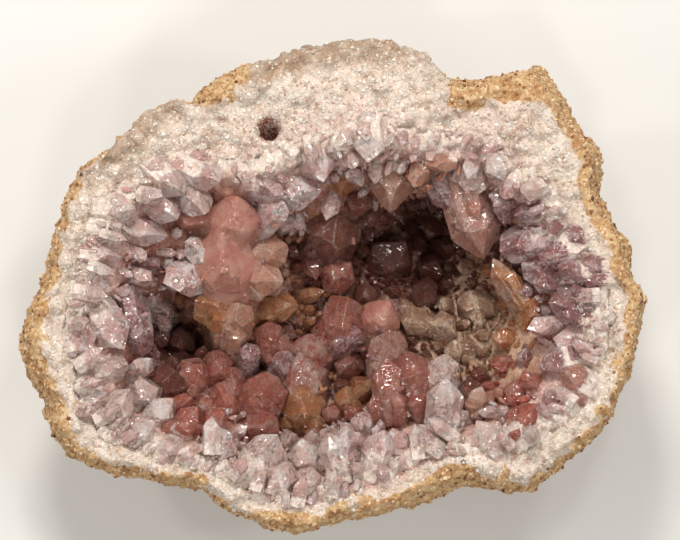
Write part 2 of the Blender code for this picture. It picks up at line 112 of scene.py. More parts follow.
# Where each colour of crystal grows, by points near the tips, in millimetres.
TONE_SPOTS: dict[Tone, list[tuple[float, float]]] = {
    Tone.LILAC: [
        (-30, 8.5), (-37.5, -12), (-40, -1.5), (-31, 0), (-2, 17), (2.5, -25.5), (9.5, -26.5),
        (39.5, -10), (5.5, 18), (-42, 8), (-20, -28), (-9, 15), (-35, 4), (35, 14), (-23.5, 20), (-21, 19.5),
    ],
    Tone.CLEAR: [
        (-35.5, 13), (-36.5, -15), (-40.5, -20), (-32, -6.5), (-27, 7.5), (19.5, -12.5), (20.5, -17),
        (-9.5, -28), (-1, -27), (-30, 20), (25, 15.5), (-30, -24), (24, 22), (-12, 22), (8, -33), (28, -24),
        (-26, 14), (-5, 21), (10, 22), (-18, 20),
    ],
    Tone.ROSE: [
        (3, -2), (-13, -6.5), (-4, -8.5), (-6, -12), (-10, -17), (-22, -11.5), (-18.5, -14.5), (-22, -18),
        (-11, -23), (9.5, -13.5), (13, -12), (33.5, -17), (2, -20), (30, -13), (2, -14), (36, -20),
    ],
    # painted shade: crystals of the dark tone in the two hollows that lie in shade
    Tone.SMOKY: [
        (-32, -11.5), (-27.5, -11.5), (-31, -6), (-27, -7), (2.5, 15.5), (13, 10.5), (12, 5.5), (25.5, -17),
        (20, 12), (20, 5),
    ],
    Tone.SALMON: [(-17.5, 15.5), (-20, 9), (10.5, -2), (-16, 6)],
    Tone.PEACH: [
        (-8.5, 8), (-9, 0.5), (-13, -2.5), (-17, -3.5), (27, -18), (19.5, 18.5), (10.5, 13.5), (17, 18),
    ],
    Tone.OCHRE: [
        (-2.5, 11), (-6.5, -3), (-6, -18.5), (2.5, -18), (-25, -3.5), (1.5, 16), (29, 5), (34.5, -8),
        (31, -2),
    ],
    Tone.MAUVE: [
        (-2.5, 8.5), (5, -7.5), (-8, -12), (-15, -10.5), (28, 1), (34, 3), (38, -3.5),
        (37, -15), (30, 6), (38.5, -19), (-31.5, 3), (-35, -13), (21, 13.5), (31, 11), (40, 8), (43, 4),
        (45, 0), (42, -3),
    ],
    Tone.CREAM: [
        (25, -9.5), (31, -11.5), (20, -6), (27, -4), (29, -8), (23, -8), (22, -12), (23.5, -3), (24.5, -1),
    ],
    Tone.BLUSH: [(27.5, 5), (25, 9), (42, -13), (9.5, -8), (6, 5), (-10, 3)],
}  # fmt: skip


# Crystals whose point a neighbour nicks: tip, compass heading and tilt of the point, and width.
NICKED = [((-20, 9, 38.5), 95, 38, 12.5)]


def linear(red: int, green: int, blue: int) -> Colour:
    """The linear colour of three display values from 0 to 255."""
    shown = (red, green, blue)
    return tuple(((value / 255 + 0.055) / 1.055) ** 2.4 if value > 10 else value / 3295 for value in shown)


def from_pit(points: np.ndarray) -> np.ndarray:
    """How far each point lies from the middle of the burrow, seen from above."""
    return np.hypot(points[..., 0] - PIT[0], points[..., 1] - PIT[1])


def unit(way: np.ndarray) -> np.ndarray:
    """The same direction, one long."""
    return way / np.linalg.norm(way)


# ---------------------------------------------------------------------------------------- shaders
class Value:
    """A number in a shader, on which plain arithmetic adds Math nodes."""

    def __init__(self, graph: Graph, socket: bpy.types.NodeSocket | None) -> None:
        """Wraps one output socket of a graph; the node at the end has none."""
        self.graph = graph
        self.socket = socket

    def _math(self, operation: str, first: Any, second: Any = 0.0) -> Value:
        """Adds one Math node."""
        return self.graph.node("ShaderNodeMath", {"operation": operation}, {0: first, 1: second})

    def __add__(self, other: Value | float) -> Value:
        """self + other."""
        return self._math("ADD", self, other)

    def __radd__(self, other: float) -> Value:
        """other + self."""
        return self._math("ADD", other, self)

    def __sub__(self, other: Value | float) -> Value:
        """self - other."""
        return self._math("SUBTRACT", self, other)

    def __rsub__(self, other: float) -> Value:
        """other - self."""
        return self._math("SUBTRACT", other, self)

    def __mul__(self, other: Value | float) -> Value:
        """self * other."""
        return self._math("MULTIPLY", self, other)

    def __rmul__(self, other: float) -> Value:
        """other * self."""
        return self._math("MULTIPLY", other, self)

    def between(self, low: float, high: float) -> Value:
        """0 at and under low, 1 at and over high, smooth in between."""
        inputs = {"Value": self, "From Min": low, "From Max": high}
        return self.graph.node("ShaderNodeMapRange", {"interpolation_type": "SMOOTHSTEP"}, inputs)

    def beside(self, output: str) -> Value:
        """Another output of the same node."""
        return Value(self.graph, self.socket.node.outputs[output])

    def sine(self) -> Value:
        """The sine of a number of radians."""
        return self._math("SINE", self)


class Graph:
    """The node tree of one material."""

    def __init__(self, name: str) -> None:
        """Starts an empty material.

        Args:
            name: The material's name.
        """
        self.material = bpy.data.materials.new(name)
        self.material.use_nodes = True
        self.tree = self.material.node_tree
        self.tree.nodes.clear()
        self.place = self.node("ShaderNodeTexCoord", output="Object")

    def node(
        self,
        kind: str,
        settings: dict[str, Any] | None = None,
        inputs: dict[str | int, Any] | None = None,
        output: str | int = 0,
    ) -> Value:
        """Adds a node of any kind.

        Args:
            kind: The node's type.
            settings: Its own properties, set before its sockets are filled.
            inputs: Sockets by name or number, each with a value or another node's output.
            output: The socket that is returned.

        Returns:
            The chosen output.
        """
        made = self.tree.nodes.new(kind)
        for key, setting in (settings or {}).items():
            setattr(made, key, setting)
        for key, given in (inputs or {}).items():
            if isinstance(given, Value):
                self.tree.links.new(given.socket, made.inputs[key])
            else:
                made.inputs[key].default_value = given
        return Value(self, made.outputs[output] if made.outputs else None)

    def cloud(self, size: float, detail: float = 3.0, stretch: float = 0.6) -> Value:
        """Soft noise from 0 to 1 with forms of a given size in metres."""
        inputs = {"Vector": self.place, "Scale": 1 / size, "Detail": detail, "Roughness": stretch}
        return self.node("ShaderNodeTexNoise", inputs=inputs)

    def cells(self, size: float, output: str = "Distance", feature: str = "F1") -> Value:
        """Cells of a given size in metres: the distance in each cell, or a colour for each."""
        inputs = {"Vector": self.place, "Scale": 1 / size}
        return self.node("ShaderNodeTexVoronoi", {"feature": feature}, inputs, output)

    def attribute(self, name: str) -> Value:
        """A number kept on the mesh."""
        return self.node("ShaderNodeAttribute", {"attribute_name": name}, output="Fac")

    def mix(self, share: Value | float, first: Any, second: Any) -> Value:
        """A colour between two colours, the second one at a share of 1."""
        first, second = ((*c, 1.0) if isinstance(c, tuple) else c for c in (first, second))
        return self.node("ShaderNodeMix", {"data_type": "RGBA"}, {0: share, 6: first, 7: second}, 2)

    def red_of(self, colour: Value) -> Value:
        """One random number for each cell, from its random colour."""
        return self.node("ShaderNodeSeparateColor", inputs={"Color": colour}, output="Red")

    def ramp(self, share: Value, stops: Sequence[tuple[float, Colour]]) -> Value:
        """Turns a number into a colour.

        Args:
            share: The number, from 0 to 1.
            stops: The colours, each after its place.

        Returns:
            The colour.
        """
        made = self.node("ShaderNodeValToRGB", inputs={0: share})
        elements = made.socket.node.color_ramp.elements
        while len(elements) < len(stops):
            elements.new(0.5)
        for element, (at, colour) in zip(elements, stops):
            element.position = at
            element.color = (*colour, 1)
        return made

    def bump(self, height: Value, depth: float, below: Value | None = None) -> Value:
        """Pushes the normal about by a height.

        Args:
            height: The height.
            depth: How far a height of 1 stands out, in metres.
            below: The normal that it starts from, if not the surface's own.

        Returns:
            The normal.
        """
        inputs: dict[str | int, Any] = {"Height": height, "Distance": depth, "Strength": 1.0}
        if below:
            inputs["Normal"] = below
        return self.node("ShaderNodeBump", inputs=inputs)

    def vector(self, operation: str, first: Any, second: Any, output: str = "Vector") -> Value:
        """Adds one Vector Math node."""
        return self.node("ShaderNodeVectorMath", {"operation": operation}, {0: first, 1: second}, output)

    def facets(self, size: float) -> Value:
        """Makes a height of small flat faces, each tilted its own way.

        Args:
            size: The width of a face in metres.

        Returns:
            The height in metres.
        """
        middle = self.cells(size, "Position")
        way = self.vector("SUBTRACT", middle.beside("Color"), (0.5, 0.5, 0.5))
        return self.vector("DOT_PRODUCT", self.vector("SUBTRACT", self.place, middle), way, "Value")

    def shader(self, **sockets: Any) -> Value:
        """One Principled shader; socket names are given with _ for spaces."""
        inputs = {name.replace("_", " "): given for name, given in sockets.items()}
        return self.node("ShaderNodeBsdfPrincipled", inputs=inputs)

    def sugar(self, colour: Value | Colour, painted_glint_share: Value | float = 0.5, coarse: float = 0.4) -> Value:
        """A shader for fine-grained quartz, with painted glints: white specks painted into its colour.

        Args:
            colour: The colour under the painted glints.
            painted_glint_share: How white the painted glint specks on the grains are.
            coarse: How steeply its grains tilt.

        Returns:
            The shader.
        """
        grain = self.red_of(self.cells(0.42 * MM, "Color"))
        fine = self.cloud(0.7 * MM, 2, 0.7)
        # painted glints: a few grains painted white, as if they caught the light
        painted_glint = (grain + fine * 0.6).between(1.12, 1.22) * painted_glint_share
        shade = self.cloud(2.2 * MM, 4, 0.65).between(0.36, 0.62)
        colour = self.mix(0.28 - shade * 0.28, colour, linear(200, 164, 138))
        colour = self.mix(painted_glint, colour, linear(255, 252, 248))
        normal = self.bump((self.facets(1.1 * MM) + self.facets(0.45 * MM) * 0.8) * coarse, 1.0)
        return self.shader(
            Base_Color=colour,
            Roughness=0.55 - grain * 0.35,
            IOR=QUARTZ_IOR,
            Transmission_Weight=0.1,
            Normal=self.bump(fine, 0.15 * MM, normal),
        )

    def finish(
        self,
        shader: Value,
        other: Value | None = None,
        share: Value | float = 0.0,
        inside: Value | None = None,
    ) -> bpy.types.Material:
        """Ends the tree in a shader, or in a mix of two.

        Args:
            shader: The shader of the surface.
            other: A second one, if there are two.
            share: How much of the second one there is.
            inside: The shader of the inside, if there is one.

        Returns:
            The finished material.
        """
        if other:
            shader = self.node("ShaderNodeMixShader", inputs={0: share, 1: shader, 2: other})
        ends = {"Surface": shader} | ({"Volume": inside} if inside else {})
        self.node("ShaderNodeOutputMaterial", inputs=ends)
        return self.material

    def absorption(self, colour: Colour, density: float) -> Value:
        """Plain absorption, for the inside of a material."""
        return self.node("ShaderNodeVolumeAbsorption", inputs={"Color": (*colour, 1.0), "Density": density})


@dataclass(frozen=True)
class RockFinish:
    """Sandy rind, white sugary quartz and the stained wall behind the crystals."""

    rind_stops: tuple[tuple[float, Colour], ...] = (
        (0.0, linear(84, 50, 28)),
        (0.18, linear(134, 88, 52)),
        (0.4, linear(174, 134, 90)),
        (0.72, linear(200, 168, 124)),
        (1.0, linear(228, 208, 180)),
    )
    band_stops: tuple[tuple[float, Colour], ...] = (
        (0.0, linear(186, 154, 130)),
        (0.35, linear(212, 192, 174)),
        (1.0, linear(232, 222, 208)),
    )
    earth: Colour = linear(148, 96, 56)
    blush: Colour = linear(222, 186, 182)
    wall: Colour = linear(190, 140, 128)
    hole: Colour = linear(168, 88, 66)
    weathered: Colour = linear(150, 126, 98)

    def material(self) -> bpy.types.Material:
        """Builds the material of the rock.

        Returns:
            The material.
        """
        graph = Graph("geode_rock")
        patch = graph.cloud(9 * MM, 4)
        grain = graph.red_of(graph.cells(0.75 * MM, "Color"))
        grit = graph.red_of(graph.cells(0.38 * MM, "Color"))
        speckle = graph.cloud(1.8 * MM, 4)
        rind = graph.ramp(grain * 0.45 + grit * 0.2 + speckle * 0.55 + patch * 0.3 - 0.2, self.rind_stops)
        rind = graph.mix((graph.cloud(3.2 * MM, 5) - 0.08).between(0.44, 0.6) * 0.7, rind, self.earth)
        band = graph.ramp(grain * 0.15 + speckle * 0.7 + patch * 0.4 - 0.1, self.band_stops)
        stain = graph.cloud(5 * MM, 5)
        band = graph.mix(stain.between(0.56, 0.68) * 0.6, band, self.earth)
        band = graph.mix(graph.attribute("blush") * 0.3, band, self.blush)
        worn = graph.attribute("worn") + (graph.cloud(4 * MM, 4) - 0.5) * 1.6
        band = graph.mix(worn.between(0.3, 0.8) * 0.85, band, self.weathered)
        cracks = graph.cells(3.2 * MM, "Distance", "DISTANCE_TO_EDGE").between(0.1, 0.0)
        cracks = cracks * (graph.attribute("worn") * 0.5 + stain.between(0.5, 0.6) * 0.3)
        band = graph.mix(cracks, band, self.earth)
        edge = (graph.attribute("rind") + (graph.cloud(2.4 * MM, 5, 0.7) - 0.5) * 1.9).between(0.36, 0.64)
        band = graph.mix(graph.attribute("hollow"), band, self.wall)
        band = graph.mix(graph.attribute("hole"), band, self.hole)
        height = grain * 0.5 + grit * 0.35 + speckle * 0.6
        rind_shader = graph.shader(Base_Color=rind, Roughness=0.95, Normal=graph.bump(height, 0.28 * MM))
        return graph.finish(graph.sugar(band, 0.2), rind_shader, edge)


@dataclass(frozen=True)
class GrainFinish:
    """Loose-looking grains whose colour changes from one to the next."""

    name: str
    stops: tuple[tuple[float, Colour], ...]
    roughness: float = 0.6
    transmission: float = 0.0

    def material(self) -> bpy.types.Material:
        """Builds the material of the grains.

        Returns:
            The material.
        """
        graph = Graph(self.name)
        colour = graph.ramp(graph.attribute("hue"), self.stops)
        shader = graph.shader(
            Base_Color=colour, Roughness=self.roughness, IOR=QUARTZ_IOR, Transmission_Weight=self.transmission
        )
        return graph.finish(shader)


SUGAR = GrainFinish(
    "sugar_quartz",
    (
        (0.0, linear(196, 160, 132)),
        (0.2, linear(222, 202, 182)),
        (0.6, linear(236, 226, 212)),
        (1.0, linear(246, 240, 230)),
    ),
    roughness=0.35,
    transmission=0.35,
)
SAND = GrainFinish(
    "rind_sand",
    (
        (0.0, linear(86, 50, 28)),
        (0.12, linear(140, 90, 52)),
        (0.3, linear(182, 140, 94)),
        (0.65, linear(200, 166, 124)),
        (1.0, linear(220, 194, 158)),
    ),
    roughness=0.85,
)


@dataclass(frozen=True)
class CrystalFinish:
    """Translucent quartz of one colour, cloudy inside and ribbed across its sides.

    Attributes:
        tone: Which crystals it dresses.
        body: The clear parts' colour.
        pale: The clouds' colour.
        transmission: How see-through the quartz is.
        density: How strongly it absorbs light; 0 leaves absorption out.
        tint: The colour that absorption leaves.
        frost: How much rougher than glass it gets in places.
        dust: How much rust lies on it.
        glitter: How many small bright facets it has, and how many specks of painted glint.
        crumple: How far its faces are from flat.
        crusted: How much of the sugary coat it has away from the rim.
        painted_edge_highlight: How white its chamfered edges are painted, as a painted highlight.
        soft_edge: Edges flatter than this many degrees are shaded smooth.
        coat: The colour of the sugary coat.
    """

    tone: Tone
    body: Colour
    pale: Colour
    transmission: float = 0.6
    density: float = 0.0
    tint: Colour = (1.0, 1.0, 1.0)
    frost: float = 0.1
    dust: float = 0.0
    glitter: float = 0.1
    crumple: float = 0.3
    crusted: float = 0.0
    painted_edge_highlight: float = 0.45
    soft_edge: float = 12.0
    coat: Colour = linear(226, 208, 196)

    def material(self) -> bpy.types.Material:
        """Builds the material of the crystals.

        Returns:
            The material.
        """
        graph = Graph(f"{self.tone.value}_quartz")
        veil = graph.cloud(3.5 * MM, 4, 0.65)
        flecks = graph.cloud(0.8 * MM, 2, 0.7)
        foot = graph.attribute("along").between(2 * MM, 9 * MM) * 0.3
        colour = graph.mix(veil.between(0.46, 0.62) * 0.8 + foot, self.body, self.pale)
        colour = graph.mix(flecks.between(0.56, 0.64) * 0.5, colour, self.pale)
        dots = graph.cells(0.7 * MM).between(0.2, 0.1) * graph.cloud(2 * MM, 3).between(0.48, 0.6)
        colour = graph.mix(dots * 0.5, colour, linear(250, 236, 226))
        # painted glints: white specks in patches, as if small facets caught the light
        painted_glints = graph.red_of(graph.cells(0.42 * MM, "Color")).between(0.72, 0.78)
        painted_glints = painted_glints * graph.cloud(2.6 * MM, 4, 0.65).between(0.5, 0.6) * self.glitter
        colour = graph.mix(painted_glints, colour, linear(255, 252, 249))
        dark = tuple(channel * 0.72 for channel in self.body)
        colour = graph.mix(graph.attribute("hue").between(0.5, 1) * 0.4, colour, dark)
        # painted highlight: the chamfered edges whitened in patches, as if they caught the light
        worn = graph.cloud(1.8 * MM, 3).between(0.42, 0.56) * self.painted_edge_highlight
        colour = graph.mix(graph.attribute("edge") * worn, colour, linear(250, 232, 220))
        # painted shade: the crystals darken deep in the hollow, where shade falls, together with deeper
        # colour there
        colour = graph.mix(graph.attribute("deep") * 0.85, colour, linear(126, 70, 58))
        if self.dust:
            rust = graph.cloud(1.4 * MM, 5, 0.7).between(0.52, 0.64) * self.dust
            colour = graph.mix(rust, colour, linear(184, 116, 66))
        ribs = (graph.attribute("along") * (FULL_TURN / (0.6 * MM)) + veil * 9).sine()
        sugary = graph.cloud(4.5 * MM, 3).between(0.5, 0.6)
        crisp = graph.cloud(3 * MM, 3)
        glitter = graph.facets(0.55 * MM) * (sugary * 0.5 + self.glitter * crisp.between(0.4, 0.55))
        ridges = ribs * (crisp.between(0.48, 0.6) * 0.02 * MM + 0.004 * MM)
        normal = graph.bump(graph.facets(1.1 * MM) * self.crumple + glitter + ridges, 1.0)
        rough = 0.03 + self.frost * (graph.cloud(1.5 * MM, 4).between(0.42, 0.66) + sugary)
        crystal = graph.shader(
            Base_Color=colour,
            Roughness=rough,
            IOR=QUARTZ_IOR,
            Transmission_Weight=self.transmission,
            Normal=normal,
        )
        coat = graph.attribute("frost") + self.crusted + (veil - 0.5) * 0.9 + (flecks - 0.5) * 0.6
        inside = graph.absorption(self.tint, self.density) if self.density else None
        return graph.finish(crystal, graph.sugar(self.coat, 0.5, 0.75), coat.between(0.4, 0.62), inside)


FINISHES: tuple[CrystalFinish, ...] = (
    CrystalFinish(Tone.LILAC, linear(230, 186, 178), linear(254, 240, 234), 0.55, glitter=1.0),
    CrystalFinish(Tone.CLEAR, linear(238, 202, 190), linear(255, 248, 242), 0.55, glitter=1.0),
    CrystalFinish(
        Tone.ROSE, linear(214, 128, 110), linear(238, 180, 162), 0.72, 26, (0.9, 0.58, 0.5), glitter=0.4
    ),
    # painted shade: the dark tone for crystals in shade
    CrystalFinish(Tone.SMOKY, linear(180, 116, 100), linear(212, 158, 140), 0.82, 80, (0.75, 0.46, 0.38)),
    CrystalFinish(
        Tone.SALMON, linear(208, 138, 122), linear(226, 172, 152), 0.5, 35, (0.95, 0.62, 0.5),
        frost=0.03, crumple=0.08, painted_edge_highlight=0.0, soft_edge=50.0,
    ),  # fmt: skip
    CrystalFinish(
        Tone.PEACH, linear(232, 172, 146), linear(248, 214, 192), 0.66, 22, (0.95, 0.68, 0.55),
        frost=0.07, crumple=0.18,
    ),  # fmt: skip
    CrystalFinish(
        Tone.OCHRE, linear(222, 148, 102), linear(242, 196, 154), 0.68, 36, (0.93, 0.62, 0.46), dust=0.35
    ),
    CrystalFinish(
        Tone.BLUSH, linear(218, 156, 138), linear(244, 204, 188), 0.68, 28, (0.92, 0.62, 0.54), glitter=0.5
    ),
    CrystalFinish(
        Tone.MAUVE, linear(188, 134, 132), linear(246, 222, 218), 0.62, 24, (0.86, 0.66, 0.66), glitter=0.9
    ),
    CrystalFinish(
        Tone.CREAM, linear(206, 168, 138), linear(232, 206, 180), 0.5, 20, (0.9, 0.74, 0.56),
        frost=0.2, dust=0.4, crusted=0.4, coat=linear(200, 170, 142),
    ),  # fmt: skip
)


# ------------------------------------------------------------------------------- working with ops
def only(piece: bpy.types.Object) -> None:
    """Selects one object and nothing else, and makes it active.

    Args:
        piece: The object.
    """
    bpy.ops.object.select_all(action="DESELECT")
    piece.select_set(True)
    bpy.context.view_layer.objects.active = piece


def added(operator: Callable[..., Any], **settings: Any) -> bpy.types.Object:
    """Adds an object with one of Blender's own operators.

    Args:
        operator: The operator.
        settings: Its settings.

    Returns:
        The new object, which is the only one selected.
    """
    bpy.ops.object.select_all(action="DESELECT")
    operator(**settings)
    return bpy.context.view_layer.objects.active


def apply(piece: bpy.types.Object, kind: str, **settings: Any) -> None:
    """Adds a modifier with its settings and applies it.

    Args:
        piece: The object.
        kind: The modifier's type.
        settings: Its properties.
    """
    modifier = piece.modifiers.new(kind.lower(), kind)
    for key, setting in settings.items():
        setattr(modifier, key, setting)
    only(piece)
    bpy.ops.object.modifier_apply(modifier=modifier.name)


def keep_number(piece: bpy.types.Object, name: str, values: np.ndarray) -> None:
    """Keeps one number for each corner of a mesh, for its material to read."""
    attribute = piece.data.attributes.new(name, "FLOAT", "POINT")
    attribute.data.foreach_set("value", np.asarray(values, dtype=np.float32))


def numbers_of(piece: bpy.types.Object, name: str) -> np.ndarray:
    """The numbers kept under a name.

    Args:
        piece: The object.
        name: The name.

    Returns:
        One number for each corner.
    """
    values = np.empty(len(piece.data.vertices), dtype=np.float32)
    piece.data.attributes[name].data.foreach_get("value", values)
    return values


def corners_of(piece: bpy.types.Object, kind: str = "co") -> np.ndarray:
    """What a mesh keeps for each of its corners.

    Args:
        piece: The object.
        kind: "co" for their places, "normal" for the directions that they face.

    Returns:
        One row of three numbers for each corner.
    """
    flat = np.empty(len(piece.data.vertices) * 3, dtype=np.float32)
    piece.data.vertices.foreach_get(kind, flat)
    return flat.reshape(-1, 3).astype(np.float64)


def move_corners(piece: bpy.types.Object, corners: np.ndarray) -> None:
    """Moves every corner of a mesh to its new place."""
    piece.data.vertices.foreach_set("co", corners.astype(np.float32).ravel())
    piece.data.update()


def copy_of_node(node: str, name: str) -> bpy.types.Object:
    """Copies one node of the frame and merges its doubles.

    Args:
        node: The node's name.
        name: The name of the copy.

    Returns:
        The copy, without a material.
    """
    only(bpy.data.objects[node])
    bpy.ops.object.duplicate()
    piece = bpy.context.view_layer.objects.active
    piece.name = name
    bpy.ops.object.mode_set(mode="EDIT")
    bpy.ops.mesh.select_all(action="SELECT")
    bpy.ops.mesh.remove_doubles(threshold=1e-6)
    bpy.ops.object.mode_set(mode="OBJECT")
    piece.data.materials.clear()
    return piece


def weigh(piece: bpy.types.Object, name: str, shares: np.ndarray) -> None:
    """Makes a vertex group, in steps of a twentieth.

    Args:
        piece: The object.
        name: The group's name.
        shares: How much of the group each corner has, from 0 to 1.
    """
    group = piece.vertex_groups.new(name=name)
    steps = np.round(shares * 20).astype(int)
    for step in range(1, 21):
        group.add(np.flatnonzero(steps == step).tolist(), step / 20, "REPLACE")


class Noise(Enum):
    """The kinds of noise that raise a surface."""

    CLOUDS = "CLOUDS"
    LUMPS = "VORONOI"


@dataclass(frozen=True)
class Relief:
    """One layer of lumps or grains on a surface; its size and its height are in millimetres.

    The middle is the level of the noise that stays where it is, and the group is the vertex group
    that the layer follows, if any.
    """

    kind: Noise
    size: float
    height: float
    middle: float
    group: str = ""

    def lift(self, piece: bpy.types.Object) -> None:
        """Raises the surface of a piece by the layer.

        Args:
            piece: The object.
        """
        texture = bpy.data.textures.new("roughness", self.kind.value)
        texture.noise_scale = self.size * MM
        apply(
            piece, "DISPLACE", texture=texture, texture_coords="LOCAL", vertex_group=self.group,
            strength=self.height * MM, mid_level=self.middle,
        )  # fmt: skip


def hold_inside(piece: bpy.types.Object, low: Sequence[float], high: Sequence[float]) -> None:
    """Moves every corner that lies outside a box onto it."""
    move_corners(piece, np.clip(corners_of(piece), np.array(low), np.array(high)))


def declare(piece: bpy.types.Object, node: str) -> None:
    """Tells the frame where a finished piece belongs.

    Args:
        piece: The object.
        node: The node that it replaces.
    """
    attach(piece, BODY)
    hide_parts(node)


def turn_of(points: np.ndarray) -> np.ndarray:
    """The direction of each point from the middle, from 0 to a full turn."""
    return np.arctan2(points[:, 1], points[:, 0]) % FULL_TURN


def smooth_step(values: np.ndarray, low: float, high: float) -> np.ndarray:
    """0 under low, 1 over high, smooth in between."""
    share = np.clip((values - low) / (high - low), 0, 1)
    return share * share * (3 - 2 * share)


# ------------------------------------------------------------------------------------ the frame
@dataclass
class Facets:
    """The triangles of a node of the frame, with doubles merged."""

    corners: np.ndarray
    triangles: np.ndarray
    normals: np.ndarray
    areas: np.ndarray
    tree: BVHTree

    @classmethod
    def of(cls, piece: bpy.types.Object) -> Facets:
        """Reads the triangles of an object.

        Args:
            piece: The object.

        Returns:
            Its triangles.
        """
        bm = bmesh.new()
        bm.from_mesh(piece.data)
        bmesh.ops.remove_doubles(bm, verts=bm.verts, dist=1e-6)
        bmesh.ops.triangulate(bm, faces=bm.faces)
        corners = np.array([corner.co for corner in bm.verts])
        triangles = np.array([[corner.index for corner in face.verts] for face in bm.faces])
        normals = np.array([face.normal for face in bm.faces])
        areas = np.array([face.calc_area() for face in bm.faces])
        tree = BVHTree.FromBMesh(bm)
        bm.free()
        return cls(corners, triangles, normals, areas, tree)

    def centres(self) -> np.ndarray:
        """The middle of every triangle."""
        return self.corners[self.triangles].mean(axis=1)

    def scatter(
        self, chance: np.ndarray, count: int, rng: np.random.Generator
    ) -> tuple[np.ndarray, np.ndarray]:
        """Random points on the triangles.

        Args:
            chance: How likely each triangle is, for its area.
            count: The number of points.
            rng: Where the random numbers come from.

        Returns:
            The points and the normals there.
        """
        weight = self.areas * chance
        chosen = rng.choice(len(weight), size=count, p=weight / weight.sum())
        first, second = rng.random(count), rng.random(count)
        over = first + second > 1
        first[over], second[over] = 1 - first[over], 1 - second[over]
        a, b, c = (self.corners[self.triangles[chosen, k]] for k in range(3))
        return a + (b - a) * first[:, None] + (c - a) * second[:, None], self.normals[chosen]


@dataclass
class Seat:
    """Where one crystal stands: its tip, the way it points, the side one face looks to, its radius."""

    tip: np.ndarray
    axis: np.ndarray
    side: np.ndarray
    radius: float
    length: float = 10 * MM


@dataclass
class CrustReader:
    """Finds the crystals in the frame's crust by the angles between the faces of their points.

    Attributes:
        crust: The crust.
        slope: How steeply the faces of a point lean in.
        near: How far the cosine between two faces of a point may be off.
        least_area: The smallest face that counts, in square metres.
        deepest: How far under a tip its sides are looked for.
        nearest: The least distance of a side from its axis.
        widest: The greatest distance of a side from its axis.
        widest_turn: The widest gap between two faces round a point, in degrees.
        unknown: The radius where no side is found.
        overlap: How much wider the finer crystal is than the frame's.
    """

    crust: Facets
    slope: float = POINT_SLOPE
    near: float = 0.012
    least_area: float = 5e-9
    deepest: float = 9 * MM
    nearest: float = 1.2 * MM
    widest: float = 5.6 * MM
    widest_turn: float = 130.0
    unknown: float = 2.6 * MM
    overlap: float = 1.02

    def seats(self) -> list[Seat]:
        """Finds all crystals whose tips show.

        Returns:
            One seat for each.
        """
        found = []
        meeting: dict[int, list[int]] = {}
        for number, triangle in enumerate(self.crust.triangles):
            for corner in triangle:
                meeting.setdefault(int(corner), []).append(number)
        for corner, around in meeting.items():
            seat = self._seat(self.crust.corners[corner], around)
            if seat is not None:
                found.append(seat)
        for tip, heading, tilt, width in NICKED:
            flat = math.sin(math.radians(tilt))
            towards = (flat * math.cos(math.radians(heading)), flat * math.sin(math.radians(heading)))
            axis = Vector((*towards, math.cos(math.radians(tilt))))
            side = axis.to_track_quat("Z", "Y") @ Vector((0, 1, 0))
            radius = width / 2 * MM * self.overlap
            found.append(Seat(np.array(tip) * MM, np.array(axis), np.array(side), radius))
        return found

    def _seat(self, tip: np.ndarray, around: list[int]) -> Seat | None:
        """Looks for a crystal that has its tip at a corner.

        Args:
            tip: The corner.
            around: The numbers of the triangles that meet there.

        Returns:
            Its seat, or None if the faces round the corner don't fit one.
        """
        normals: list[np.ndarray] = []
        for number in around:
            normal = self.crust.normals[number]
            fresh = all(normal @ other < 0.9995 for other in normals)
            if fresh and self.crust.areas[number] > self.least_area:
                normals.append(normal)
        strays = [number for number in range(len(normals)) if self._misfits(normals[number], normals) > 1]
        normals = [normal for number, normal in enumerate(normals) if number not in strays]
        if len(normals) < 3 or any(self._misfits(normal, normals) for normal in normals):
            return None
        return self._fit(tip, np.array(normals))

    def _misfits(self, normal: np.ndarray, others: Sequence[np.ndarray]) -> int:
        """Counts the faces that can't belong to one point together with this one.

        Args:
            normal: The way this face looks.
            others: The ways that all the faces look.

        Returns:
            Their number.
        """
        cosine, sine = math.cos(self.slope) ** 2, math.sin(self.slope) ** 2
        allowed = np.array([cosine * math.cos(math.radians(turn)) + sine for turn in (0, 60, 120, 180)])
        return sum(np.abs(allowed - normal @ other).min() > self.near for other in others)

    def _fit(self, tip: np.ndarray, stack: np.ndarray) -> Seat | None:
        """Fits a crystal to the faces of its point.

        Args:
            tip: The tip.
            stack: The way each face looks, one row each.

        Returns:
            Its seat, or None if the faces don't go all round it.
        """
        axis = np.linalg.lstsq(stack, np.full(len(stack), math.sin(self.slope)), rcond=None)[0]
        if abs(np.linalg.norm(axis) - 1) > 0.03:
            return None
        axis = unit(axis)
        side = unit(stack[0] - axis * (stack[0] @ axis))
        turns = np.sort(np.degrees(np.arctan2(stack @ np.cross(axis, side), stack @ side)))
        if np.diff(np.append(turns, turns[0] + 360)).max() > self.widest_turn:
            return None
        return Seat(tip, axis, side, self._radius(tip, axis, side))

    def _radius(self, tip: np.ndarray, axis: np.ndarray, side: np.ndarray) -> float:
        """Measures half the width across corners, from the flat sides round an axis.

        Args:
            tip: The crystal's tip.
            axis: The way it points.
            side: The way one face looks.

        Returns:
            The radius in metres.
        """
        offset = self.crust.centres() - tip
        depth = -(offset @ axis)
        away = np.linalg.norm(offset + depth[:, None] * axis, axis=1)
        flatness = np.abs(self.crust.normals @ axis)
        reach = np.einsum("ij,ij->i", offset, self.crust.normals)
        heading = np.degrees(np.arctan2(self.crust.normals @ np.cross(axis, side), self.crust.normals @ side))
        askew = np.abs((heading + 30) % 60 - 30)
        fits = (depth > 0) & (depth < self.deepest) & (flatness < 0.07) & (askew < 2.5)
        fits &= (reach > self.nearest) & (reach < self.widest) & (away < reach * 1.25 + 0.1 * MM)
        if not fits.any():
            return self.unknown
        order = np.argsort(reach[fits])
        share = np.cumsum(self.crust.areas[fits][order])
        middle = reach[fits][order][np.searchsorted(share, share[-1] / 2)]
        return float(middle) / math.cos(math.radians(30)) * self.overlap


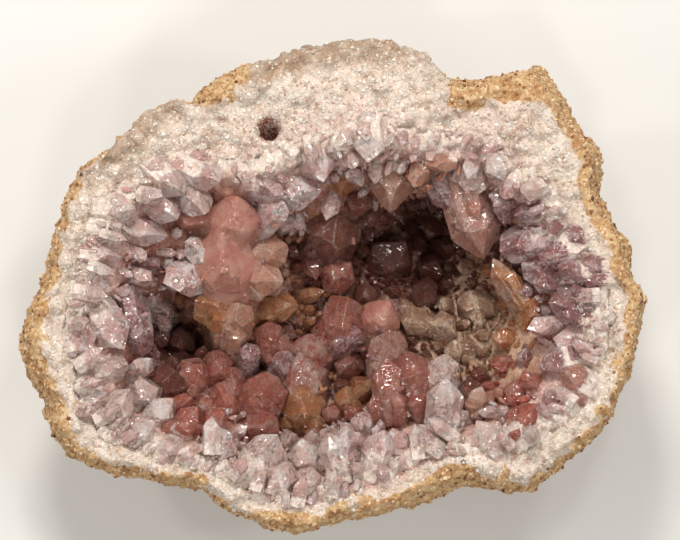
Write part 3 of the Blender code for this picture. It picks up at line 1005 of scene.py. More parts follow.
# ------------------------------------------------------------------------------------ the rock
ROCK_RELIEF = (
    Relief(Noise.CLOUDS, 3.4, 2.0, 0.62, "rind"),
    Relief(Noise.LUMPS, 2.1, -1.0, 0.5, "rind"),
    Relief(Noise.CLOUDS, 0.9, 0.8, 0.55, "rind"),
    Relief(Noise.CLOUDS, 6.0, 3.4, 0.6, "band"),
    Relief(Noise.LUMPS, 2.6, -1.5, 0.4, "band"),
    Relief(Noise.CLOUDS, 1.6, 0.7, 0.55, "band"),
    Relief(Noise.CLOUDS, 1.6, 0.6, 0.2, "hollow"),
)


@dataclass
class Rock:
    """The rind, the white band and the wall of the hollow, carved finer than the frame's shell."""

    finish: RockFinish
    grain: float = 0.64 * MM  # the width of the finest forms
    bins: int = 180  # the number of directions in which the rim is read
    rest: float = 1.6 * MM  # lower than this, nothing is carved, so that the rock lies flat
    pit_reach: float = 2.5 * MM  # how far from its middle the burrow stays smooth
    ragged: tuple[float, float] = (3.5 * MM, 9 * MM)  # the widths of the small and the large bays of an edge
    band_foot: float = 31.0  # lower than this, in millimetres, the rind covers everything
    sway: float = 25.0  # how far the sides of the bare band wander low down, in degrees

    def build(self) -> bpy.types.Object:
        """Carves and dresses the rock.

        Returns:
            The finished piece.
        """
        low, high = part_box(SHELL_NODE)
        piece = copy_of_node(SHELL_NODE, "rock")
        apply(piece, "REMESH", mode="VOXEL", voxel_size=self.grain, use_smooth_shade=True)
        apply(piece, "SMOOTH", factor=0.5, iterations=10)
        self._open_burrow(piece)
        self._read_rim(corners_of(piece))
        self._weigh(piece)
        for layer in ROCK_RELIEF:
            layer.lift(piece)
        hold_inside(piece, low, high)
        self._paint_masks(piece)
        piece.data.materials.append(self.finish.material())
        declare(piece, SHELL_NODE)
        return piece

    def _open_burrow(self, piece: bpy.types.Object) -> None:
        """Widens the burrow again, which smoothing has narrowed.

        Args:
            piece: The rock.
        """
        corners = corners_of(piece)
        away = from_pit(corners)
        share = (1 - smooth_step(away, 2 * MM, 4 * MM)) * smooth_step(corners[:, 2], 34 * MM, 36 * MM)
        push = share * 0.6 * MM / np.maximum(away, 0.8 * MM)
        corners[:, :2] += (corners[:, :2] - np.array(PIT)) * push[:, None]
        move_corners(piece, corners)

    def _read_rim(self, corners: np.ndarray) -> None:
        """Reads the outline, and the crest's place and height, in each direction.

        Args:
            corners: The rock's corners.
        """
        which = (turn_of(corners) / FULL_TURN * self.bins).astype(int) % self.bins
        away = np.hypot(corners[:, 0], corners[:, 1])
        found = []
        for k in sorted(set(which)):
            here = np.flatnonzero(which == k)
            top = here[np.argmax(corners[here, 2])]
            found.append(((k + 0.5) / self.bins * FULL_TURN, away[here].max(), away[top], corners[top, 2]))
        self.middles, self.outline, self.crest, self.height = np.array(found).T

    def _round(self, corners: np.ndarray, values: np.ndarray) -> np.ndarray:
        """The value in each corner's direction, of values kept for every bin."""
        return np.interp(turn_of(corners), self.middles, values, period=FULL_TURN)

    def within(self, corners: np.ndarray) -> np.ndarray:
        """How far each corner lies inside the outline, in millimetres, seen from above."""
        return (self._round(corners, self.outline) - np.hypot(corners[:, 0], corners[:, 1])) / MM

    def shares(self, corners: np.ndarray, normals: np.ndarray) -> tuple[np.ndarray, np.ndarray]:
        """Tells how much of rind and of hollow there is at every given place.

        Args:
            corners: The places.
            normals: The way the surface faces there.

        Returns:
            The shares of rind and of hollow.
        """
        places, widths = zip(*RIND_WIDTH)
        ragged, drift = (
            np.array([noise.noise(Vector(corner) / size) for corner in corners]) for size in self.ragged
        )
        low = 1 - smooth_step(corners[:, 2], 34 * MM, 39 * MM)
        width = np.interp(np.degrees(turn_of(corners)) + drift * low * self.sway, places, widths, period=360)
        above = smooth_step(width - self.within(corners) + ragged * 2.2, -1.5, 1.5)
        under = smooth_step(self.band_foot - corners[:, 2] / MM + ragged * 3 + drift * 8, -1.5, 1.5)
        beyond = (np.hypot(corners[:, 0], corners[:, 1]) - self._round(corners, self.crest)) / MM
        out = corners - np.array([0, 0, self.height.mean()])
        back = smooth_step((normals * out).sum(axis=1) / np.linalg.norm(out, axis=1), 0, 0.35)
        hollow = smooth_step(-out[:, 2] / MM, 3.5, 6) * (1 - smooth_step(beyond, -2.5, -1)) * (1 - back)
        rind = np.maximum(above, under * np.maximum(smooth_step(beyond, -1.5, 0.5), back)) * (1 - hollow)
        return rind, hollow

    def _weigh(self, piece: bpy.types.Object) -> None:
        """Makes the vertex groups that the carving follows.

        Args:
            piece: The rock.
        """
        corners = corners_of(piece)
        rind, hollow = self.shares(corners, corners_of(piece, "normal"))
        resting = smooth_step(corners[:, 2], 0, self.rest)
        clear = smooth_step(from_pit(corners), self.pit_reach, 1.8 * self.pit_reach)
        groups = {"rind": rind * resting, "band": (1 - rind) * (1 - hollow) * clear, "hollow": hollow}
        for name, share in groups.items():
            weigh(piece, name, share)

    def worn(self, points: np.ndarray) -> np.ndarray:
        """Tells how weathered the band is.

        Args:
            points: The places.

        Returns:
            The shares, from 0 to 1.
        """
        places, shares = zip(*WEATHERING)
        outer = 1 - smooth_step(self.within(points), 3, 9)
        return np.interp(np.degrees(turn_of(points)), places, shares, period=360) * outer

    def _paint_masks(self, piece: bpy.types.Object) -> None:
        """Keeps the shares of rind, hollow, pink flush and burrow for the material.

        Args:
            piece: The rock.
        """
        piece.vertex_groups.clear()
        corners = corners_of(piece)
        rind, hollow = self.shares(corners, corners_of(piece, "normal"))
        keep_number(piece, "rind", rind)
        keep_number(piece, "hollow", hollow)
        keep_number(piece, "blush", smooth_step(self.within(corners), 7, 16) * (1 - hollow) * (1 - rind))
        keep_number(piece, "worn", self.worn(corners))
        deep = smooth_step(-corners[:, 2], -41.8 * MM, -40.8 * MM)
        hole = (1 - smooth_step(from_pit(corners), 0.8 * self.pit_reach, self.pit_reach)) * deep
        keep_number(piece, "hole", hole * (1 - rind))


# ------------------------------------------------------------------------------------ crystals
@dataclass
class Pattern:
    """One modelled crystal or grain, with its top at the origin and one unit in radius."""

    corners: np.ndarray
    faces: list[list[int]]
    chamfered: list[int]
    shoulder: float = -2.2

    @classmethod
    def from_piece(cls, piece: bpy.types.Object, shoulder: float = -2.2) -> Pattern:
        """Takes the shape of an object, which is then removed.

        Args:
            piece: The object.
            shoulder: The height under which a copy is drawn out to its length.

        Returns:
            The shape.
        """
        corners = corners_of(piece)
        corners[:, 2] -= corners[:, 2].max()
        faces = [list(face.vertices) for face in piece.data.polygons]
        chamfered = [face.material_index for face in piece.data.polygons]
        bpy.data.objects.remove(piece)
        return cls(corners, faces, chamfered, shoulder)

    def in_order(self) -> Pattern:
        """Puts corners and triangles in an order that every run shares; subdividing leaves it open.

        Returns:
            The same shape.
        """
        corners = np.round(self.corners, 5)
        order = np.lexsort(corners.T)
        rank = np.argsort(order).tolist()
        sorted_faces = []
        for face, flag in zip(self.faces, self.chamfered):
            ranks = [rank[corner] for corner in face]
            first = ranks.index(min(ranks))
            sorted_faces.append((ranks[first:] + ranks[:first], flag))
        faces, chamfered = zip(*sorted(sorted_faces))
        return Pattern(corners[order], list(faces), list(chamfered), self.shoulder)


@dataclass
class CrystalCarver:
    """Models a few crystals, of which all others are copies.

    Attributes:
        slope: How steeply the faces of a point lean in.
        height: The height for a radius of one.
        chamfer: How wide the worn edges are, for a radius of one.
        cuts: How many times the faces are cut up, for crystals whose faces get uneven.
    """

    slope: float = POINT_SLOPE
    height: float = 4.0
    chamfer: float = 0.0
    cuts: int = 0

    def _face_normal(self, number: int) -> Vector:
        """Gives the way one face of the point looks.

        Args:
            number: The face, from 0 to 5.

        Returns:
            The direction.
        """
        turn = math.radians(60 * number)
        flat = math.cos(self.slope)
        return Vector((flat * math.cos(turn), flat * math.sin(turn), math.sin(self.slope)))

    def carve(self, setbacks: Sequence[float], squeeze: float, step_face: int | None = None) -> Pattern:
        """Models one crystal.

        Args:
            setbacks: How far back each of the six faces of the point lies.
            squeeze: Its depth for a width of one.
            step_face: A face of the point that gets a shallow growth step, if any.

        Returns:
            The crystal's corners and faces.
        """
        middle = (0, 0, -self.height / 2)
        piece = added(
            bpy.ops.mesh.primitive_cylinder_add, vertices=6, radius=1, depth=self.height, location=middle
        )
        bpy.ops.object.transform_apply(location=True, rotation=False, scale=False)
        bpy.ops.object.mode_set(mode="EDIT")
        for number, setback in enumerate(setbacks):
            bpy.ops.mesh.select_all(action="SELECT")
            bpy.ops.mesh.bisect(
                plane_co=(0, 0, -setback), plane_no=self._face_normal(number), use_fill=True, clear_outer=True
            )
        if step_face is not None:
            self._grow_step(piece, step_face)
        bpy.ops.mesh.select_all(action="SELECT")
        if self.chamfer:
            bpy.ops.mesh.bevel(offset=self.chamfer, segments=1, affect="EDGES", clamp_overlap=True)
            bm = bmesh.from_edit_mesh(piece.data)
            for face in bm.faces:
                face.material_index = int(face.select)
            bmesh.update_edit_mesh(piece.data)
        if self.cuts:
            bpy.ops.mesh.select_all(action="SELECT")
            bpy.ops.mesh.quads_convert_to_tris()
            bpy.ops.mesh.subdivide(number_cuts=self.cuts)
        bpy.ops.mesh.select_all(action="SELECT")
        bpy.ops.transform.resize(value=(squeeze, 1, 1))
        bpy.ops.mesh.normals_make_consistent(inside=False)
        bpy.ops.object.mode_set(mode="OBJECT")
        pattern = Pattern.from_piece(piece)
        return pattern.in_order() if self.cuts else pattern

    def _grow_step(self, piece: bpy.types.Object, number: int) -> None:
        """Insets one face of the point and lets it down a little.

        Args:
            piece: The crystal, in edit mode.
            number: The face, from 0 to 5.
        """
        bpy.ops.mesh.select_mode(type="FACE")
        bpy.ops.mesh.select_all(action="DESELECT")
        bm = bmesh.from_edit_mesh(piece.data)
        bm.normal_update()
        wanted = self._face_normal(number)
        best = max(bm.faces, key=lambda face: face.normal.dot(wanted) + 0.01 * face.calc_area())
        best.select_set(True)
        bmesh.update_edit_mesh(piece.data)
        bpy.ops.mesh.inset(thickness=0.22, depth=0.03)

    def patterns(self, rng: np.random.Generator, count: int) -> list[Pattern]:
        """Models crystals from even six-faced points to three-faced ones; even faces are broad.

        Args:
            rng: Where the random numbers come from.
            count: How many.

        Returns:
            The crystals.
        """
        made = []
        for k in range(count):
            narrow = 0.25 if k % 3 == 0 else 0.85
            setbacks = [rng.uniform(0.1, narrow) if face % 2 else rng.uniform(0, 0.1) for face in range(6)]
            step = 2 * int(rng.integers(3)) if self.chamfer and k % 3 == 1 else None
            made.append(self.carve(setbacks, rng.uniform(0.78, 1.1), step))
        return made

    @staticmethod
    def splinters(rng: np.random.Generator, count: int) -> list[Pattern]:
        """Models small angular grains with ten faces.

        Args:
            rng: Where the random numbers come from.
            count: How many.

        Returns:
            The grains.
        """
        made = []
        for _ in range(count):
            piece = added(bpy.ops.mesh.primitive_cone_add, vertices=5, radius1=1, radius2=0, depth=0.9)
            bpy.ops.object.mode_set(mode="EDIT")
            bpy.ops.mesh.select_all(action="DESELECT")
            bm = bmesh.from_edit_mesh(piece.data)
            min(bm.faces, key=lambda face: face.normal.z).select_set(True)
            bmesh.update_edit_mesh(piece.data)
            bpy.ops.mesh.poke(offset=0.8)
            bpy.ops.object.mode_set(mode="OBJECT")
            jitter = rng.uniform(0.75, 1.2, (len(piece.data.vertices), 3))
            move_corners(piece, corners_of(piece) * jitter)
            made.append(Pattern.from_piece(piece, shoulder=-9.0))
        return made


@dataclass
class Cluster:
    """Copies of patterns that become one piece, with numbers for their material."""

    name: str
    corners: list[np.ndarray] = field(default_factory=list)
    faces: list[list[int]] = field(default_factory=list)
    along: list[np.ndarray] = field(default_factory=list)
    hue: list[np.ndarray] = field(default_factory=list)
    chamfered: list[int] = field(default_factory=list)
    count: int = 0

    def add(self, pattern: Pattern, seat: Seat, hue: float) -> None:
        """Adds a copy of a pattern, drawn out to the length of its seat.

        Args:
            pattern: The form.
            seat: Where it stands.
            hue: A number from 0 to 1 that shifts its colour.
        """
        shape = pattern.corners * seat.radius
        foot = pattern.corners[:, 2] < pattern.shoulder
        stretch = max(seat.length / (4 * seat.radius), 0.6)
        shoulder = pattern.shoulder * seat.radius
        shape[foot, 2] = shoulder + (shape[foot, 2] - shoulder) * stretch
        across = np.cross(seat.axis, seat.side)
        placed = seat.tip + shape[:, :1] * seat.side + shape[:, 1:2] * across + shape[:, 2:] * seat.axis
        self.faces.extend([corner + self.count for corner in face] for face in pattern.faces)
        self.chamfered.extend(pattern.chamfered)
        self.count += len(placed)
        self.corners.append(placed)
        self.along.append(-shape[:, 2])
        self.hue.append(np.full(len(placed), hue))

    def piece(
        self, material: bpy.types.Material, node: str, slot: str, smooth: float = 0.0
    ) -> bpy.types.Object:
        """Makes the mesh and gives it its material.

        Args:
            material: The finish of the piece.
            node: The node of the frame that it stands for.
            slot: Not used.
            smooth: Edges flatter than this many degrees are shaded smooth.

        Returns:
            The finished object.
        """
        mesh = bpy.data.meshes.new(self.name)
        mesh.from_pydata(np.concatenate(self.corners).tolist(), [], self.faces)
        mesh.update()
        made = bpy.data.objects.new(self.name, mesh)
        bpy.context.scene.collection.objects.link(made)
        keep_number(made, "along", np.concatenate(self.along))
        keep_number(made, "hue", np.concatenate(self.hue))
        # marks the chamfered faces, which the crystals' material paints with a highlight
        if any(self.chamfered):
            made.data.attributes.new("edge", "FLOAT", "FACE").data.foreach_set("value", self.chamfered)
        mesh.materials.append(material)
        if smooth > 20:
            self._melt(made)
        if smooth:
            Relief(Noise.CLOUDS, 2.2, 0.14, 0.5).lift(made)
            only(made)
            bpy.ops.object.shade_smooth_by_angle(angle=math.radians(smooth))
        hold_inside(made, *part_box(SHELL_NODE))
        declare(made, node)
        return made

    @staticmethod
    def _melt(piece: bpy.types.Object) -> None:
        """Rounds crystals into domes that run into one another, and keeps their numbers.

        Args:
            piece: The crystals.
        """
        old = corners_of(piece)
        tree = KDTree(len(old))
        for number, corner in enumerate(old):
            tree.insert(corner, number)
        tree.balance()
        kept = {name: numbers_of(piece, name) for name in ("along", "hue")}
        apply(piece, "REMESH", mode="VOXEL", voxel_size=0.4 * MM, use_smooth_shade=True)
        apply(piece, "SMOOTH", factor=0.5, iterations=12)
        nearest = [tree.find(corner)[1] for corner in corners_of(piece)]
        for name, values in kept.items():
            keep_number(piece, name, values[nearest])


@dataclass
class Grains:
    """Sugary quartz on the white band and sand on the rind."""

    rock: Rock
    surface: Facets
    edge: CrustEdge
    seed: int = 5
    sugar_count: int = 6500
    sand_count: int = 17000
    sugar_sizes: tuple[float, float] = (0.16 * MM, 0.55 * MM)
    sand_sizes: tuple[float, float] = (0.2 * MM, 0.55 * MM)

    def __post_init__(self) -> None:
        """Starts the random numbers and finds out what lies where."""
        self.rng = np.random.default_rng(self.seed)
        self.rind, self.hollow = self.rock.shares(self.surface.centres(), self.surface.normals)

    def build(self) -> list[bpy.types.Object]:
        """Strews both kinds.

        Returns:
            The two finished pieces.
        """
        patterns = CrystalCarver.splinters(self.rng, 6)
        centres = self.surface.centres()
        outside = smooth_step(-self.edge.inset(centres), -2 * MM, 0.5 * MM)
        facing = smooth_step(self.surface.normals[:, 2], -0.4, 0.1)
        sugar, sand = Cluster("sugar_quartz"), Cluster("sand_grains")
        fresh = 1 - 0.8 * self.rock.worn(centres)
        chance = (1 - self.rind) * outside * facing * fresh
        self._strew(sugar, patterns, chance, self.sugar_count, self.sugar_sizes)
        lift = smooth_step(centres[:, 2], 2 * MM, 4 * MM)
        self._strew(sand, patterns, self.rind * lift, self.sand_count, self.sand_sizes)
        return [
            sugar.piece(SUGAR.material(), SHELL_NODE, ROCK_SLOT),
            sand.piece(SAND.material(), SHELL_NODE, ROCK_SLOT),
        ]

    def _strew(
        self,
        cluster: Cluster,
        patterns: list[Pattern],
        chance: np.ndarray,
        count: int,
        sizes: tuple[float, float],
    ) -> None:
        """Stands many small copies on the rock.

        Args:
            cluster: Where the copies go.
            patterns: The forms that are copied.
            chance: How likely each triangle of the rock is.
            count: The number of copies.
            sizes: The least and the greatest radius.
        """
        points, normals = self.surface.scatter(chance**2, count, self.rng)
        for k in range(count):
            axis, side = random_turn(normals[k], 0.5, self.rng)
            radius = sizes[0] + (sizes[1] - sizes[0]) * self.rng.random() ** 2.5
            seat = Seat(points[k] + axis * radius * 0.7, axis, side, radius, radius * 3)
            cluster.add(patterns[k % len(patterns)], seat, float(self.rng.random()))


def random_turn(about: np.ndarray, stray: float, rng: np.random.Generator) -> tuple[np.ndarray, np.ndarray]:
    """Draws an axis that strays from a direction, and a side square to it.

    Args:
        about: The direction.
        stray: How far the axis strays.
        rng: Where the random numbers come from.

    Returns:
        The axis and the side.
    """
    axis = unit(about + rng.normal(0, stray, 3))
    return axis, unit(np.cross(axis, rng.normal(0, 1, 3)))


@dataclass
class CrustEdge:
    """How far the crust reaches in each direction from the middle."""

    crust: Facets
    bins: int = 72

    def __post_init__(self) -> None:
        """Reads the reach of the crust in each direction."""
        corners = self.crust.corners
        which = (turn_of(corners) / FULL_TURN * self.bins).astype(int) % self.bins
        away = np.hypot(corners[:, 0], corners[:, 1])
        self.reach = np.array([away[which == k].max() for k in range(self.bins)])

    def inset(self, points: np.ndarray) -> np.ndarray:
        """Tells how far inside the crust's edge each point lies.

        Args:
            points: The points.

        Returns:
            The distances in metres.
        """
        middles = (np.arange(self.bins) + 0.5) / self.bins * FULL_TURN
        reach = np.interp(turn_of(points), middles, self.reach, period=FULL_TURN)
        return reach - np.hypot(points[:, 0], points[:, 1])


def nearness(points: np.ndarray, tone: Tone, reach: float) -> np.ndarray:
    """Tells how near each point is to the places where a colour grows.

    Args:
        points: The points.
        tone: The colour.
        reach: How far it spreads, in metres.

    Returns:
        1 at those places, 0 beyond the reach.
    """
    spots = np.array(TONE_SPOTS[tone]) * MM
    gap = np.linalg.norm(points[:, None, :2] - spots[None], axis=2).min(axis=1)
    return 1 - smooth_step(gap, 0.35 * reach, reach)


@dataclass(frozen=True)
class BedFinish:
    """Intergrown quartz: white sugar at the rim, rose further in, stained in places, darker low down as
    painted shade and deeper colour.
    """

    white: Colour = linear(228, 214, 200)
    blush: Colour = linear(208, 168, 158)
    rose: Colour = linear(152, 92, 78)
    # painted shade low in the hollow, with deeper colour there
    deep: Colour = linear(92, 46, 36)
    rust: Colour = linear(150, 96, 52)
    cream: Colour = linear(192, 158, 130)

    def material(self) -> bpy.types.Material:
        """Builds the material of the bed.

        Returns:
            The material.
        """
        graph = Graph("quartz_bed")
        patch = graph.cloud(4 * MM, 5, 0.65)
        fine = graph.cloud(0.8 * MM, 4, 0.7)
        rim = graph.attribute("rim") + (patch - 0.5) * 0.7
        # darker low down: painted shade and deeper colour
        colour = graph.mix(graph.attribute("deep"), self.rose, self.deep)
        colour = graph.mix(rim.between(0.1, 0.5), colour, self.blush)
        colour = graph.mix((rim + (fine - 0.5) * 0.6).between(0.62, 0.95), colour, self.white)
        colour = graph.mix(graph.attribute("cream"), colour, self.cream)
        stain = graph.cloud(3 * MM, 5, 0.7).between(0.5, 0.62)
        colour = graph.mix(stain * (graph.attribute("ochre") * 0.6 + 0.25), colour, self.rust)
        # the bed's sugar has more painted glints near the rim
        return graph.finish(graph.sugar(colour, graph.attribute("rim") * 0.4 + 0.05, 0.7))


BED_RELIEF = (
    Relief(Noise.CLOUDS, 2.2, 2.2, 0.35, "rim"),
    Relief(Noise.LUMPS, 1.6, -1.2, 0.5, "rim"),
    Relief(Noise.CLOUDS, 2.4, 1.2, 1.0, "middle"),
    Relief(Noise.LUMPS, 1.3, -0.5, 0.2, "middle"),
)


@dataclass
class CrystalBed:
    """The intergrown crystal mass that the pointed crystals rise from."""

    edge: CrustEdge
    seats: list[Seat]
    finish: BedFinish = BedFinish()
    grain: float = 0.55 * MM

    def build(self) -> bpy.types.Object:
        """Roughens and dresses the frame's crust.

        Returns:
            The finished piece.
        """
        low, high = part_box(CRUST_NODE)
        piece = copy_of_node(CRUST_NODE, "quartz_bed")
        apply(piece, "REMESH", mode="VOXEL", voxel_size=self.grain, use_smooth_shade=True)
        self._draw_in(piece)
        apply(piece, "SMOOTH", factor=0.5, iterations=6)
        raised = 1 - smooth_step(self.edge.inset(corners_of(piece)), 2 * MM, 10 * MM)
        weigh(piece, "rim", raised)
        weigh(piece, "middle", 1 - raised)
        for layer in BED_RELIEF:
            layer.lift(piece)
        piece.vertex_groups.clear()
        self._spread(piece)
        hold_inside(piece, low, high)
        corners = corners_of(piece)
        keep_number(piece, "rim", 1 - smooth_step(self.edge.inset(corners), 1 * MM, 11 * MM))
        # deep: the share of painted shade and deeper colour, low in the hollow
        keep_number(piece, "deep", 1 - smooth_step(corners[:, 2], 19 * MM, 31 * MM))
        keep_number(piece, "cream", nearness(corners, Tone.CREAM, 9 * MM))
        keep_number(piece, "ochre", nearness(corners, Tone.OCHRE, 7 * MM))
        piece.data.materials.append(self.finish.material())
        declare(piece, CRUST_NODE)
        return piece

    def _spread(self, piece: bpy.types.Object) -> None:
        """Lets the outer edge of the bed grow out over the seam to the white band.

        Args:
            piece: The bed.
        """
        corners = corners_of(piece)
        share = 1 - smooth_step(self.edge.inset(corners), 0.5 * MM, 2.5 * MM)
        away = np.hypot(corners[:, 0], corners[:, 1])
        corners[:, :2] *= (1 + share * MM / away)[:, None]
        corners[:, 2] -= share**2 * MM
        move_corners(piece, corners)

    def _draw_in(self, piece: bpy.types.Object) -> None:
        """Shrinks what stands for a large crystal, so that it stays well inside the finer one.

        Args:
            piece: The bed.
        """
        corners = corners_of(piece)
        for seat in self.seats:
            offset = corners - seat.tip
            depth = -(offset @ seat.axis)
            out = offset + depth[:, None] * seat.axis
            share = (1 - smooth_step(np.linalg.norm(out, axis=1) / seat.radius, 0.95, 1.5))[:, None]
            along = smooth_step(depth, -0.6 * MM, 0) * (1 - smooth_step(depth, 9 * MM, 14 * MM))
            share = share * along[:, None]
            corners -= share * (out * 0.4 + seat.axis * seat.radius * 0.45)
        move_corners(piece, corners)


def nearest_tone(x: float, y: float) -> Tone:
    """Finds the colour of crystal that grows nearest to a place.

    Args:
        x: The place, in metres.
        y: The same.

    Returns:
        The colour.
    """
    return min(
        TONE_SPOTS,
        key=lambda tone: min(math.hypot(x / MM - at[0], y / MM - at[1]) for at in TONE_SPOTS[tone]),
    )


def over_pit(seat: Seat) -> bool:
    """Tells whether a crystal would stand over the burrow in the white band.

    Args:
        seat: Where it would stand.

    Returns:
        True if any part of it would.
    """
    middles = seat.tip - np.linspace(0, seat.length, 8)[:, None] * seat.axis
    near = from_pit(middles) < seat.radius + PIT_ROOM
    return bool((near & (middles[:, 2] > PIT_FLOOR)).any())


@dataclass(frozen=True)
class Generation:
    """Crystals of one size that fill the room between larger ones.

    Attributes:
        tries: How many places are tried.
        gap: How far apart their feet are at least.
        least: The least radius.
        greatest: The greatest radius.
        on_crystals: How likely one stands on a large crystal.
        stray: How far it leans from its neighbours' direction.
    """

    tries: int
    gap: float
    least: float
    greatest: float
    on_crystals: float = 0.0
    stray: float = 0.3


MIDDLING = Generation(3000, 3.6 * MM, 1.2 * MM, 2.3 * MM)
YOUNG = Generation(7000, 1.9 * MM, 0.5 * MM, 1.3 * MM, stray=0.35)
DRUSE = Generation(9000, 0.8 * MM, 0.2 * MM, 0.55 * MM, on_crystals=0.12, stray=0.5)


@dataclass
class CrystalField:
    """Every crystal of the hollow: those of the frame, younger ones between them, and druse."""

    crust: Facets
    shell: Facets
    edge: CrustEdge
    seed: int = 11
    longest: float = 20 * MM
    pit_clear: float = 6.5 * MM  # how far from the burrow the younger crystals stay
    dark_below: float = 26 * MM  # lower than this, the crystals take the dark tone of painted shade
    rim_width: float = 12 * MM  # nearer to the edge than this, the crystals lean inwards
    covered: float = 1.1  # a large crystal covers this many of its radii round its axis
    dome_room: float = 1.4  # and a salmon one keeps this many of them free

    def __post_init__(self) -> None:
        """Starts the random numbers and finds the frame's crystals."""
        self.rng = np.random.default_rng(self.seed)
        self.seats = CrustReader(self.crust).seats()
        for seat in self.seats:
            seat.length = self._length(seat)
        self.clusters = {tone: Cluster(f"{tone.value}_crystals") for tone in Tone}
        self.druse = {tone: Cluster(f"{tone.value}_druse") for tone in Tone}
        self.feet = np.empty((0, 3))

    def _length(self, seat: Seat) -> float:
        """How long a crystal is, down to a little way into the rock."""
        hit = self.shell.tree.ray_cast(Vector(seat.tip - seat.axis * MM), Vector(-seat.axis), self.longest)
        return (hit[3] if hit[0] else self.longest * 0.6) + 2 * MM

    def build(self) -> list[bpy.types.Object]:
        """Places and dresses every crystal.

        Returns:
            One piece for each colour of crystal and one for each colour of druse.
        """
        self._stand_large(
            CrystalCarver(chamfer=0.03, cuts=2).patterns(self.rng, 9),
            CrystalCarver(chamfer=0.03).patterns(self.rng, 8),
        )
        bare = self._open_faces()
        chamfered = CrystalCarver(SHARP_SLOPE, chamfer=0.05).patterns(self.rng, 6)
        self._fill(MIDDLING, self.clusters, chamfered, bare)
        self._fill(YOUNG, self.clusters, CrystalCarver(SHARP_SLOPE).patterns(self.rng, 6), bare)
        self._fill(DRUSE, self.druse, CrystalCarver().patterns(self.rng, 4), bare)
        pieces = []
        for finish in FINISHES:
            material = finish.material()
            for group, smooth in ((self.clusters, finish.soft_edge), (self.druse, 0.0)):
                cluster = group[finish.tone]
                if cluster.count:
                    piece = cluster.piece(material, CRUST_NODE, CRYSTAL_SLOT, smooth)
                    keep_number(piece, "frost", self._frost(corners_of(piece), numbers_of(piece, "along")))
                    # deep: the share of painted shade and deeper colour, low in the hollow
                    keep_number(piece, "deep", 1 - smooth_step(corners_of(piece)[:, 2], 15 * MM, 30 * MM))
                    pieces.append(piece)
        return pieces

    def _frost(self, corners: np.ndarray, along: np.ndarray) -> np.ndarray:
        """How much sugary quartz coats each corner: the feet of the crystals near the rim."""
        rim = 1 - smooth_step(self.edge.inset(corners), 1 * MM, 13 * MM)
        return rim * (0.1 + 0.9 * smooth_step(along, 1.5 * MM, 6 * MM))

    def _stand_large(self, patterns: list[Pattern], plain: list[Pattern]) -> None:
        """Stands a crystal on every seat that the frame has, and smaller ones at its sides.

        Args:
            patterns: The forms of the large ones.
            plain: The forms of the smaller ones.
        """
        for number, seat in enumerate(self.seats):
            if over_pit(seat):
                continue
            tone = self._tone(seat.tip, 0.0)
            self.clusters[tone].add(patterns[number % len(patterns)], seat, float(self.rng.random()))
            beside_it = 0 if tone is Tone.SALMON else self.rng.integers(2, 6)
            for _ in range(beside_it):
                beside = self._beside(seat)
                if over_pit(beside):
                    continue
                pattern = plain[self.rng.integers(len(plain))]
                self.clusters[tone].add(pattern, beside, float(self.rng.random()))

    def _tone(self, place: np.ndarray, stray: float) -> Tone:
        """Picks a colour of crystal; it is pale at the rim and painted dark, as shade, far down.

        Args:
            place: Where the crystal grows.
            stray: From how far off the colour may come; 0 keeps to the spots.

        Returns:
            The colour.
        """
        x, y = place[:2] + self.rng.normal(0, 1, 2) * stray
        tone = nearest_tone(x, y)
        inset, pale = self.edge.inset(place[None])[0], self.rng.uniform(3, 8) * MM
        if stray and inset < (0.4 * pale if tone is Tone.MAUVE else pale):
            return Tone.LILAC if self.rng.random() < 0.4 else Tone.CLEAR
        if stray and tone is Tone.SALMON:
            tone = Tone.LILAC if y > 12 * MM else Tone.MAUVE
        # painted shade: crystals low down take the dark tone
        dark = place[2] < self.dark_below and tone not in (Tone.CREAM, Tone.OCHRE)
        return Tone.SMOKY if dark else tone

    def _beside(self, seat: Seat) -> Seat:
        """Seats a smaller crystal along one side of a large one, turned the same way.

        Args:
            seat: The large one's seat.

        Returns:
            The smaller one's seat.
        """
        turn = self.rng.uniform(0, FULL_TURN)
        across = np.cross(seat.axis, seat.side)
        out = seat.side * math.cos(turn) + across * math.sin(turn)
        axis = unit(seat.axis + out * self.rng.uniform(0.02, 0.2))
        side = unit(seat.side - axis * (seat.side @ axis))
        tip = seat.tip + out * seat.radius * self.rng.uniform(0.55, 0.9)
        tip = tip - seat.axis * seat.radius * self.rng.uniform(0.7, 1.7)
        return Seat(tip, axis, side, seat.radius * self.rng.uniform(0.35, 0.75), seat.length * 0.8)

    def _crystal_depth(self, points: np.ndarray) -> tuple[np.ndarray, np.ndarray]:
        """How points lie to the nearest large crystal.

        Args:
            points: Places on the crust.

        Returns:
            Their distance from the nearest axis as a share of the radius, and their depth under its tip.
        """
        far = 9.0
        best, depth_there = np.full(len(points), far), np.full(len(points), far)
        for seat in self.seats:
            offset = seat.tip - points
            depth = offset @ seat.axis
            away = np.linalg.norm(offset - depth[:, None] * seat.axis, axis=1) / seat.radius
            away = np.where(depth > -0.3 * MM, away, far)
            closer = away < best
            best[closer], depth_there[closer] = away[closer], depth[closer]
        return best, depth_there

    def _open_faces(self) -> np.ndarray:
        """Finds the triangles of the crust that can be seen from above.

        Returns:
            1 for each of those, 0 for the others.
        """
        centres = self.crust.centres()
        seen = np.zeros(len(centres))
        looks = [Vector((0.45 * math.cos(k), 0.45 * math.sin(k), 1)).normalized() for k in range(6)]
        looks.append(Vector((0, 0, 1)))
        for number, (centre, normal) in enumerate(zip(centres, self.crust.normals)):
            start = Vector(centre + normal * 0.02 * MM)
            for look in looks:
                if look.dot(Vector(normal)) > 0 and self.crust.tree.ray_cast(start, look)[0] is None:
                    seen[number] = 1
                    break
        return seen

